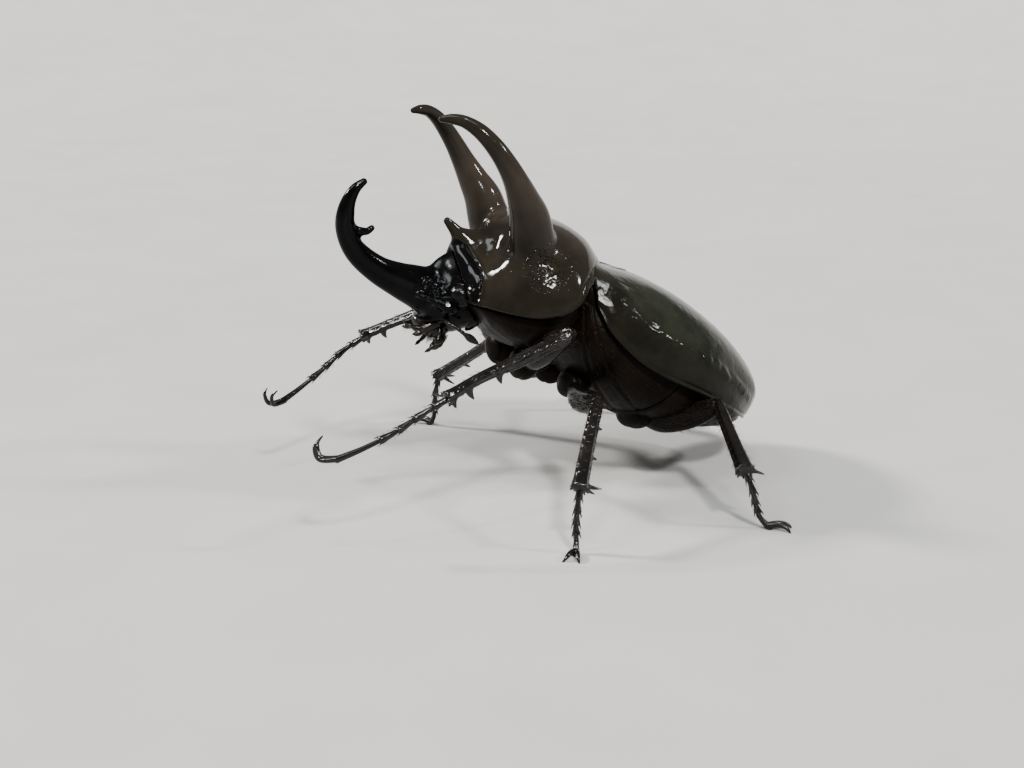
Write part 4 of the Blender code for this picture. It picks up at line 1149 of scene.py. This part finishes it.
# Legs, as on the left side. Femur and tibia rows are (side, ahead, up, half width, half depth), and a tooth
# is (share of the tibia, length, lean towards the foot). Face bristles are a count, and where on the femur.
frontLeg = {
    "coxa": ((7.0, 18.0, -17.6), (4.2, 3.0, 3.2)),
    "teeth": ((0.62, 1.5, -0.2), (0.83, 1.9, -1.0), (0.94, 1.5, -0.4)),
    "toothWay": (0.25, 0.0, -1.0),
    "toothRadius": 0.95,
    "spurs": ((-0.75, 0.6, -0.1),),
    "across": (1, 0, 0),
    "faceBristles": (10, (0.3, 0.97)),
}
legs = {
    "frontLeft": {
        **frontLeg,
        "femur": ((8.6, 18.0, -16.9, 1.8, 2.0), (13.5, 17.8, -14.6, 2.2, 2.7), (19.5, 17.2, -11.4, 2.2, 2.6),
                  (24.2, 16.4, -8.9, 1.8, 2.0), (26.3, 16.0, -7.8, 1.1, 1.2)),
        "tibia": ((26.2, 16.2, -7.9, 1.1, 1.2), (27.4, 19.5, -9.0, 1.15, 1.4), (29.4, 27.5, -11.2, 1.1, 1.25),
                  (31.4, 35.5, -13.2, 0.95, 1.0), (33.0, 42.0, -15.7, 1.0, 1.1)),
        "tarsus": ((32.9, 41.4, -15.7), (32.8, 46.6, -18.3), (32.2, 51.4, -21.3), (31.2, 57.0, -24.0),
                   (30.0, 61.6, -25.9)),
        "claw": ((30.0, 61.2, -25.8), (28.9, 64.2, -25.7), (28.2, 64.8, -23.6), (28.0, 63.9, -22.4)),
        "flats": (((26.4, 16.6, -7.0), 0.09, (0.33, -0.71, 0.62), 2.0),),
    },
    "frontRight": {
        **frontLeg,
        "femur": ((8.6, 18.0, -16.9, 1.8, 2.0), (13.2, 17.7, -15.0, 2.2, 2.7), (18.4, 16.9, -12.4, 2.2, 2.6),
                  (22.6, 15.8, -10.2, 1.8, 2.0), (24.6, 15.3, -9.2, 1.1, 1.2)),
        "tibia": ((24.5, 15.5, -9.3, 1.1, 1.2), (24.7, 18.9, -10.2, 1.15, 1.4), (24.6, 27.0, -12.4, 1.1, 1.25),
                  (24.7, 35.3, -14.9, 0.95, 1.0), (25.0, 42.0, -17.3, 1.0, 1.1)),
        "tarsus": ((25.0, 41.4, -17.4), (24.9, 46.4, -20.2), (24.2, 51.0, -23.6), (22.8, 56.2, -26.8),
                   (21.4, 60.4, -28.9)),
        "claw": ((21.5, 60.0, -28.8), (20.2, 62.8, -28.9), (19.4, 63.6, -26.9), (19.2, 62.8, -25.6)),
    },
    "middle": {
        "coxa": ((7.0, 7.5, -22.6), (4.6, 3.2, 3.0)),
        "femur": ((9.0, 8.0, -23.4, 1.9, 2.1), (13.5, 8.9, -23.9, 2.2, 2.6), (19.0, 9.8, -23.1, 2.1, 2.4),
                  (24.6, 10.5, -21.6, 1.7, 1.9), (26.9, 10.8, -20.8, 1.1, 1.3)),
        "tibia": ((26.8, 10.8, -20.6, 1.2, 1.1), (29.6, 12.4, -22.5, 1.2, 1.1), (35.0, 16.0, -26.8, 1.3, 1.1),
                  (42.0, 20.4, -32.0, 1.45, 1.15)),
        "tarsus": ((41.8, 20.2, -31.6), (42.3, 20.9, -35.5), (42.4, 21.2, -39.0), (42.8, 21.3, -41.8),
                   (44.2, 22.0, -43.8)),
        "claw": ((43.6, 21.7, -43.3), (45.4, 22.8, -42.9), (46.6, 23.6, -43.3), (47.0, 24.0, -44.1)),
        "teeth": ((0.45, 1.3, 0.8), (0.72, 1.5, 0.9)),
        "toothRadius": 0.7,
        "toothWay": (-0.2, -0.9, -0.4),
        "spurs": ((0.2, -0.9, -0.25), (-0.2, -0.75, -0.6)),
        "across": (0, 1, 0),
        "faceBristles": (190, (0.3, 0.86)),
    },
    "hind": {
        "coxa": ((8.8, -5.2, -29.3), (6.4, 3.4, 3.2)),
        "femur": ((10.2, -6.0, -29.2, 2.0, 2.4), (13.8, -9.0, -29.4, 2.5, 3.3), (18.2, -12.9, -28.0, 2.3, 3.0),
                  (21.6, -15.6, -26.3, 1.8, 2.1), (23.0, -16.6, -25.4, 1.1, 1.3)),
        "tibia": ((22.9, -16.6, -25.2, 1.2, 1.1), (26.6, -15.9, -26.8, 1.3, 1.1), (33.5, -14.6, -29.8, 1.5, 1.15),
                  (41.0, -13.2, -32.8, 1.8, 1.25)),
        "tarsus": ((40.6, -13.2, -32.5), (41.9, -14.2, -36.0), (42.3, -15.0, -39.4), (42.8, -15.8, -41.9),
                   (43.8, -17.4, -43.75)),
        "claw": ((43.4, -16.9, -43.3), (44.6, -18.8, -42.9), (45.5, -20.1, -43.3), (45.8, -20.7, -44.1)),
        "teeth": ((0.4, 1.3, 0.8), (0.7, 1.6, 1.0)),
        "toothRadius": 0.75,
        "toothWay": (-0.2, -0.9, -0.4),
        "spurs": ((0.75, 0.6, -0.3), (0.6, -0.75, -0.3)),
        "across": (0, 1, 0),
        "faceBristles": (190, (0.3, 0.86)),
        "flats": (((23.35, -15.42, -25.08), 0.10, (0.84, -0.20, 0.50), 1.8),),
    },
}
femurRoot = {"inward": 1.2, "halves": (2.0, 2.0, 2.3), "blend": 1.6, "voxel": 0.25}  # the ball in the coxa
foot = {
    "joints": (0.0, 0.17, 0.33, 0.48, 0.63, 1.0),  # where the five segments meet
    "narrow": 0.46,
    "wide": 0.86,
    "lastWide": 0.72,
    "clawRadii": (0.6, 0.5, 0.36, 0.14),
    "clawSpread": 0.9,
    "spineLength": 1.0,
}
spur = {"length": 2.6, "radius": 0.55, "sunk": 0.8, "aside": 0.6, "crown": 9, "crownLength": 0.85,
        "voxel": 0.17}


def coxaHeight(turn, rounds):
    # Flattened, with a blunt ridge and a groove round the far end
    ridge = 0.10 * np.exp(-(np.sin((rounds - 4.4) / 2) / 0.22) ** 2)
    flat = -0.09 * np.cos(2 * rounds + 0.8)
    return (ridge + flat) * np.sin(turn) - 0.06 * np.exp(-((turn - 1.9) / 0.12) ** 2)


def femurHeight(share, turn):
    # A shallow groove along the lower edge, where the tibia folds in, and a swollen knee
    groove = -0.35 * np.exp(-((np.sin((turn - 4.2) / 2)) / 0.16) ** 2) * smoothStep(0.35, 0.8, share)
    for line in (0.45, 3.0):  # and fine lines on its broad faces
        fine = np.exp(-((np.sin((turn - line) / 2)) / 0.05) ** 2)
        groove = groove - 0.12 * fine * smoothStep(0.1, 0.3, share)
    return groove + 0.15 * np.exp(-((share - 0.94) / 0.04) ** 2)


def tibiaHeight(share, turn):
    # Long ridges with rows of pricks between them, and a flared end
    ridges = 0.075 * np.cos(6 * turn) * smoothStep(0.06, 0.2, share)
    pricks = 0.11 * np.cos(6 * turn + math.pi) * np.maximum(np.sin(share * 90 + 2 * np.sin(3 * turn)), 0)
    ends = 0.22 * smoothStep(0.9, 1.0, share) - 0.1 * smoothStep(0.1, 0.03, share)
    return ridges - np.maximum(pricks, 0) + ends


def toeHeight(share, turn):
    # Each of the five segments widens towards its far end, and the last one is long and thin
    height = np.zeros(np.broadcast(share, turn).shape)
    for k, (start, end) in enumerate(zip(foot["joints"], foot["joints"][1:])):
        inside = np.clip((share - start) / (end - start), 0, 1)
        wide = foot["wide"] if k < 4 else foot["lastWide"]
        flare = foot["narrow"] + (wide - foot["narrow"]) * inside ** 1.4
        flare = flare * (1 - 0.5 * smoothStep(0.90, 1.0, inside)) if k < 4 else flare
        here = (share >= start) & ((share < end) | (k == 4))
        height = np.where(here, flare - foot["narrow"], height)
    return height + 0.03 * np.cos(8 * turn)


def spike(root, tip, push, radii, hand, **words):
    # A small spine, with its middle pushed aside
    return rod((root, (root + tip) / 2 + push, tip), radii, level, hand, **words)


def makeTibia(leg, hand):
    skins = [(tube(leg["tibia"], level, hand, along=220, around=60, across=leg["across"], rootRound=True,
                   cap=0.6, shape=tibiaHeight), 9.0)]
    way = np.array(leg["toothWay"]) / np.linalg.norm(leg["toothWay"])
    end = np.array(leg["tibia"][-1][:3])
    ahead = unit(end - np.array(leg["tibia"][0][:3]))
    radius = leg["toothRadius"]
    for share, length, lean in leg["teeth"]:
        row = curveAt(leg["tibia"], share * (len(leg["tibia"]) - 1))
        tip = row[:3] + way * (row[4] + length) + ahead * lean
        skins.append((spike(row[:3], tip, ahead * 0.25, (radius, 0.72 * radius, 0.14), hand,
                            along=30, around=24, across=(0.3, 0.9, 0.2)), 0.75))
    for direction in leg["spurs"]:
        direction = unit(np.array(direction, float))
        aside = unit(direction - ahead * (direction @ ahead))
        root = end - ahead * spur["sunk"] + aside * spur["aside"]
        tip = root + direction * (spur["length"] + spur["sunk"])
        skins.append((spike(root, tip, ahead * 0.15, (spur["radius"], 0.7 * spur["radius"], 0.12), hand,
                            along=30, around=20, across=(0.3, 0.9, 0.2)), 0.4))
    # A crown of short spines round the end
    path, halves, way, wide, deep = (part[0] for part in tubeFrame(
        leg["tibia"], np.array([len(leg["tibia"]) - 1.03]), leg["across"]))
    for k in range(spur["crown"]):
        turn = 2 * math.pi * (k + 0.3 * math.sin(5 * k)) / spur["crown"]
        out = wide * math.cos(turn) * halves[0] + deep * math.sin(turn) * halves[1]
        root = path + 0.95 * out
        tip = root + 0.4 * unit(out) + way * spur["crownLength"]
        skins.append((spike(root, tip, 0.12 * unit(out), (0.3, 0.22, 0.07), hand, along=10, around=10), 0.3))
    return fuseSkins(skins, spur["voxel"], 25)


def makeFoot(leg, hand):
    # The five segments with short spines at their ends, and the two claws
    path = leg["tarsus"]
    rows = [(*point, foot["narrow"], foot["narrow"]) for point in path]
    skins = [tube(rows, level, hand, along=200, around=24, across=leg["across"], rootRound=True,
                  shape=toeHeight)]
    for end in foot["joints"][1:-1]:
        centre, _, way, wide, deep = (part[0] for part in tubeFrame(
            rows, np.array([(end - 0.015) * (len(path) - 1)]), leg["across"]))
        for turn in (0.6, 2.5, 3.9, 5.5):
            out = wide * math.cos(turn) + deep * math.sin(turn)
            root = centre + out * foot["wide"] * 0.6
            tip = root + out * 0.35 * foot["spineLength"] + way * foot["spineLength"]
            skins.append(spike(root, tip, out * 0.1, (0.2, 0.13, 0.04), hand, along=8, around=8))
    claws = []
    along = np.array(leg["claw"][2]) - np.array(leg["claw"][0])
    apart = unit(np.cross(along, (0, 0, 1.0))) * foot["clawSpread"]
    for spread in (-1, 1):
        points = [np.array(point) + apart * spread * (k + 0.4) / 2 for k, point in enumerate(leg["claw"])]
        claws.append(rod(points, foot["clawRadii"], level, hand, along=60, around=24, across=apart,
                         rootRound=True))
    return joined(skins), joined(claws)


def legOf(which, hand):
    # A leg's dictionary, the first word of its pieces and the ending of its nodes
    side = "Left" if hand > 0 else "Right"
    return legs.get(which + side) or legs[which], which + side, "_" + which + "_" + side.lower()


def makeLeg(which, hand):
    leg, name, ending = legOf(which, hand)
    makePiece(name + "Coxa", ball(*leg["coxa"], level, hand, 56, 40, coxaHeight), finishes["belly"],
              ["coxa" + ending])
    start, second = (np.array(row[:3]) for row in leg["femur"][:2])
    root = start + unit(second - start) * femurRoot["inward"]
    femur = [(tube(leg["femur"], level, hand, along=90, around=56, across=(0, 1, 0), rootRound=True,
                   shape=femurHeight), femurRoot["blend"]),
             (ball(root, femurRoot["halves"], level, hand, 40, 28), femurRoot["blend"])]
    points, faces = fuseSkins(femur, femurRoot["voxel"], 40)
    femur = (pressFlats(points, leg.get("flats", ()), level, hand), faces)
    tarsus, claws = makeFoot(leg, hand)
    for skin in (tarsus, claws):
        skin[0][:, 2] = np.maximum(skin[0][:, 2], 0.0)  # the feet end in small flats on the floor
    for part, skin, finish, kept in (("Femur", femur, "femur", "femur"),
                                     ("Tibia", makeTibia(leg, hand), "leg", "tibia"),
                                     ("Tarsus", tarsus, "leg", "tarsus"), ("Claws", claws, "leg", "tarsus")):
        makePiece(name + part, skin, finishes[finish], [kept + ending])


for hand in (1, -1):
    for which in ("front", "middle", "hind"):
        makeLeg(which, hand)
print("legs made")


# Bristles, as joined thin cones in patches on each skin

bristle = {"radius": 0.055, "sides": 3, "rings": 3, "sheet": 8, "patch": 0.003}
chance = np.random.default_rng(7)


def onSheet(cell, across, along):
    # A place on the skin's unwrap, where each skin has a cell of the sheet
    size = bristle["sheet"]
    corner = np.array((cell % size, cell // size)) + 0.05
    return (corner + 0.9 * np.stack((across, along), axis=-1)) / size


def growBristles(name, roots, ways, bends, lengths, spots, slot, nodes, girth=1.0):
    sides, rings = bristle["sides"], bristle["rings"]
    ways = unit(ways)
    first = unit(np.cross(ways, (0.31, 0.52, 0.79)))
    second = np.cross(ways, first)
    long = np.asarray(lengths)[:, None]
    points, places = [], []
    for ring in range(rings + 1):
        share = ring / rings
        middle = roots + ways * long * share + bends * long * share ** 2
        for side in range(1 if ring == rings else sides):
            turn = 2 * math.pi * side / sides
            thick = bristle["radius"] * girth * (1 - 0.85 * share) * (ring < rings)
            points.append(middle + thick * (first * math.cos(turn) + second * math.sin(turn)))
            places.append(spots + bristle["patch"] * (np.array((side / sides, share)) - 0.5))
    each = len(points)
    base = np.arange(len(roots))[:, None] * each
    faces = []
    for ring in range(rings - 1):
        for side in range(sides):
            other = (side + 1) % sides
            quad = np.array((side, other, sides + other, sides + side)) + ring * sides
            faces += (base + quad).tolist()
    for side in range(sides):
        tip = ((rings - 1) * sides + side, (rings - 1) * sides + (side + 1) % sides, each - 1)
        faces += (base + np.array(tip)).tolist()
    faces += (base + np.arange(sides)[::-1]).tolist()
    points = np.stack(points, axis=1).reshape(-1, 3)
    piece = makePiece(name, (points, faces), finishes["bristle"], nodes)
    corners = np.zeros(len(piece.data.loops), np.int32)
    piece.data.loops.foreach_get("vertex_index", corners)
    sheet = piece.data.uv_layers.new(name="OFBake")
    sheet.data.foreach_set("uv", np.stack(places, axis=1).reshape(-1, 2)[corners].astype(np.float32).ravel())


def tubeRoots(rows, across, shares, turns, hand, cell):
    # Roots on a tube's skin, with the directions out of it and along it
    path, halves, way, wide, deep = tubeFrame(rows, shares * (len(rows) - 1), across)
    cosine, sine = np.cos(turns)[:, None], np.sin(turns)[:, None]
    roots = path + wide * cosine * (halves[:, :1] - 0.08) + deep * sine * (halves[:, 1:] - 0.08)
    out = unit(wide * cosine / halves[:, :1] + deep * sine / halves[:, 1:])
    flip = np.array((hand, 1, 1))
    home = place(np.zeros(3), level)
    spots = onSheet(cell, np.mod(turns / (2 * math.pi), 1), shares)
    return place(roots * flip, level), place(out * flip, level) - home, place(way * flip, level) - home, spots


def legBristles(which, hand, cell):
    leg, name, ending = legOf(which, hand)
    toes = [(*point, foot["wide"], foot["wide"]) for point in leg["tarsus"]]
    faceCount, faceReach = leg["faceBristles"]
    gathered = []
    # rows, count, shares along it, turns round it and how far off them, lengths, lean towards the foot
    for rows, count, reach, turns, off, lengths, lean in (
            (leg["tibia"], 26, (0.10, 0.97), (0.5, 2.5, 4.1, 5.5), 0.12, (0.6, 1.3), 0.9),
            (leg["tibia"], 20, (0.985, 0.995), (3.1,), 3.1, (0.5, 0.9), 2.0),  # a ring round its end
            (leg["femur"], 42, (0.15, 0.93), (4.2, 5.8), 0.5, (0.6, 1.3), 0.9),  # a fringe below
            (leg["femur"], faceCount, faceReach, (0.0,), 0.7, (0.7, 1.3), 2.2),
            (toes, 9, (0.16, 0.64), (1.0, 2.1, 4.2, 5.3), 0.3, (0.4, 0.7), 1.3)):
        across = (0, 1, 0) if rows is leg["femur"] else leg["across"]
        for turn in turns:
            shares = chance.uniform(*reach, count)
            places = turn + chance.uniform(-off, off, count)
            roots, out, way, spots = tubeRoots(rows, across, shares, places, hand, cell)
            ways = out + way * lean + chance.normal(0, 0.18, out.shape)
            gathered.append((roots, ways, way * 0.25, chance.uniform(*lengths, count), spots))
    growBristles(name + "Bristles", *(np.concatenate(part) for part in zip(*gathered)), "cuticle",
                 [part + ending for part in ("tibia", "femur", "tarsus")])


def skinRoots(grid, pitch, rows, columns, cell):
    # Roots at places on a grid's skin
    grid = place(grid, pitch)
    normals = gridNormals(grid)
    count, width = grid.shape[:2]
    middle, low = grid[count // 2].mean(0), grid[count // 2, -width // 4]
    if (low - middle) @ normals[count // 2, -width // 4] < 0:
        normals = -normals
    i, j = rows.astype(int), columns.astype(int)
    back = unit(grid[np.minimum(i + 2, count - 1), j] - grid[np.maximum(i - 2, 0), j])
    spots = onSheet(cell, columns / width, rows / count)
    return grid[i, j] - 0.05 * normals[i, j], normals[i, j], back, spots


def growOnSkin(nodeName, grid, rows, edges, cell, lift, droop, lengths):
    # Bristles that lie back, on the given rows of a skin
    columns = chance.uniform(edges[0], len(grid[0]) - edges[1], len(rows))
    roots, out, back, spots = skinRoots(grid, hind, rows, columns, cell)
    ways = lift * out + back + chance.normal(0, 0.2, out.shape)
    lengths = chance.uniform(*lengths, len(rows))
    growBristles(nodeName + "Bristles", roots, ways, back * 0.2 - out * droop, lengths, spots,
                 "underside", [nodeName], 0.8)


def bodyBristles():
    # Sparse on the thorax, and on the abdomen a row on each plate and a fringe at the end
    growOnSkin("thorax", thoraxGrid(), chance.uniform(6, 100, 420), (52, 4), 29, 0.55, 0.1, (0.6, 1.2))
    grid = abdomenGrid()
    plates = hindBody["plates"]
    rows = (chance.integers(0, plates, 360) + chance.uniform(0.6, 0.85, 360)) * (len(grid) / plates)
    rows = np.concatenate((rows, chance.uniform(138, 147, 120)))
    growOnSkin("abdomen", grid, rows, (54, 6), 30, 0.6, 0.0, (0.6, 1.3))


def mouthBristles():
    # A rust fringe on the lip, jaws and chin, which points ahead and down
    lip = [(*point, 0.7, 0.7) for point in mouth["lip"]]
    jaw = [(*point, radius, radius) for point, radius in zip(mouth["jaw"], mouth["jawRadii"])]
    gathered = []
    # rows, across, count, shares along it, turns round it, lengths
    for rows, across, count, reach, turns, lengths in (
            (lip, (0, 0, 1), 60, (0.03, 0.97), (0.0, 6.28), (0.8, 1.5)),
            (jaw, (1, 0, 0), 45, (0.25, 0.85), (0.0, 6.28), (0.8, 1.6)),
            (mouth["chinRows"], (1, 0, 0), 120, (0.1, 0.95), (0.3, 2.84), (1.0, 2.0))):
        for hand in (1, -1):
            shares = chance.uniform(*reach, count)
            places = chance.uniform(*turns, count)
            roots, out, _, spots = tubeRoots(rows, across, shares, places, hand, 26)
            ways = 0.5 * out + (0, -0.75, -0.5) + chance.normal(0, 0.15, out.shape)
            bends = np.broadcast_to((0, 0.05, -0.2), out.shape)
            gathered.append((roots, ways, bends, chance.uniform(*lengths, count), spots))
    growBristles("mouthBristles", *(np.concatenate(part) for part in zip(*gathered)), "mouth",
                 ["mouthparts"], 0.8)


for side, hand in enumerate((1, -1)):
    for row, which in enumerate(("front", "middle", "hind")):
        legBristles(which, hand, 3 * side + row)
bodyBristles()
mouthBristles()
print("bristles made")


# Floor, light and camera

studio = {
    "floorRadius": 1500.0,
    "rimHeight": 400.0,
    "flatShare": 0.3,  # of its radius
    "bend": 3.5,  # how late the floor rises into the backdrop
    "floor": {"dark": (0.245, 0.24, 0.23), "pale": (0.275, 0.27, 0.26), "cloud": (120.0,),
              "cloudRange": (0, 1), "patches": (30.0,), "roughness": (0.55, 0.7), "mirror": 0.5,
              "waves": (1.2, 4), "depth": 0.03},
    "around": 96,
    "world": ((0.80, 0.82, 0.85), 0.25),
    # direction it comes from, width in degrees, strength, colour
    "lamps": (((0.70, -0.05, 0.70), 6.0, 6.0, (1.0, 0.98, 0.95)),
              ((-0.45, -0.65, 0.60), 8.0, 8.0, (1.0, 0.98, 0.95)),
              ((0.02, -0.53, 0.85), 17.0, 2.0, (0.90, 0.95, 1.0)),
              ((0.34, -0.12, 0.94), 20.0, 1.0, (0.95, 0.97, 1.0)),
              ((0.37, 0.70, 0.60), 5.5, 3.4, (0.96, 0.98, 1.0)),
              ((0.275, -0.20, 0.94), 4.0, 1.0, (0.98, 0.99, 1.0))),
}
view = {"azimuth": 70.0, "elevation": 15.0, "lens": 56.0, "sensor": 36.0, "distance": 320.0,
        "imageSize": (1024, 768), "waistPixel": (596, 262)}


def makeStudio():
    radius, rim = studio["floorRadius"], studio["rimHeight"]
    flat = studio["flatShare"]
    profile = [(0.01, 0.0), (flat * radius, 0.0)]
    for share in np.linspace(0.02, 1, 40):
        profile.append((radius * (flat + (1 - flat) * share), rim * share ** studio["bend"]))
    around = studio["around"]
    turns = np.linspace(0, 2 * math.pi, around, endpoint=False)
    mesh = bpy.data.meshes.new("floor")
    points = [(r * math.cos(t) / 1000, r * math.sin(t) / 1000, z / 1000) for r, z in profile for t in turns]
    index = np.arange(len(points)).reshape(len(profile), around)
    after = np.roll(index, -1, axis=1)
    faces = np.stack((index[:-1], after[:-1], after[1:], index[1:]), axis=-1).reshape(-1, 4).tolist()
    mesh.from_pydata(points, [], faces + [tuple(range(around))[::-1]])
    mesh.shade_smooth()
    look = studio["floor"]
    material, tree, shader, where, _, _ = newFinish("plainFloor", look)
    raised(tree, shader, cloudy(tree, where, *look["waves"]), look["depth"])
    mesh.materials.append(material)
    floor = bpy.data.objects.new("floor", mesh)
    bpy.context.scene.collection.objects.link(floor)
    world = bpy.data.worlds.new("paleRoom")
    bpy.context.scene.world = world
    world.use_nodes = True
    colour, strength = studio["world"]
    world.node_tree.nodes["Background"].inputs["Color"].default_value = (*colour, 1)
    world.node_tree.nodes["Background"].inputs["Strength"].default_value = strength
    for k, (source, width, strength, colour) in enumerate(studio["lamps"]):
        lamp = bpy.data.lights.new(f"softLamp{k}", "SUN")
        lamp.angle = math.radians(width)
        lamp.energy = strength
        lamp.color = colour
        made = bpy.data.objects.new(f"softLamp{k}", lamp)
        made.rotation_euler = Vector(source).to_track_quat("Z", "Y").to_euler()
        bpy.context.scene.collection.objects.link(made)


def makeCamera():
    # The waist falls on the same pixel as in the photograph, seen from the same side
    turn, lift = math.radians(view["azimuth"]), math.radians(view["elevation"])
    right = Vector((math.cos(turn), math.sin(turn), 0))
    back = Vector((math.sin(turn) * math.cos(lift), -math.cos(turn) * math.cos(lift), math.sin(lift)))
    up = back.cross(right)
    perPixel = view["sensor"] / view["lens"] / view["imageSize"][0] * view["distance"]
    aside = (view["waistPixel"][0] - view["imageSize"][0] / 2) * perPixel
    above = (view["imageSize"][1] / 2 - view["waistPixel"][1]) * perPixel
    spot = Vector(stance["waist"]) + back * view["distance"] - right * aside - up * above
    lens = bpy.data.cameras.new("camera")
    lens.lens = view["lens"]
    lens.sensor_width = view["sensor"]
    lens.clip_start = 0.01
    camera = bpy.data.objects.new("camera", lens)
    camera.matrix_world = Matrix.Translation(spot / 1000) @ Matrix((right, up, back)).transposed().to_4x4()
    bpy.context.scene.collection.objects.link(camera)
    bpy.context.scene.camera = camera


makeStudio()
makeCamera()
print("studio made")
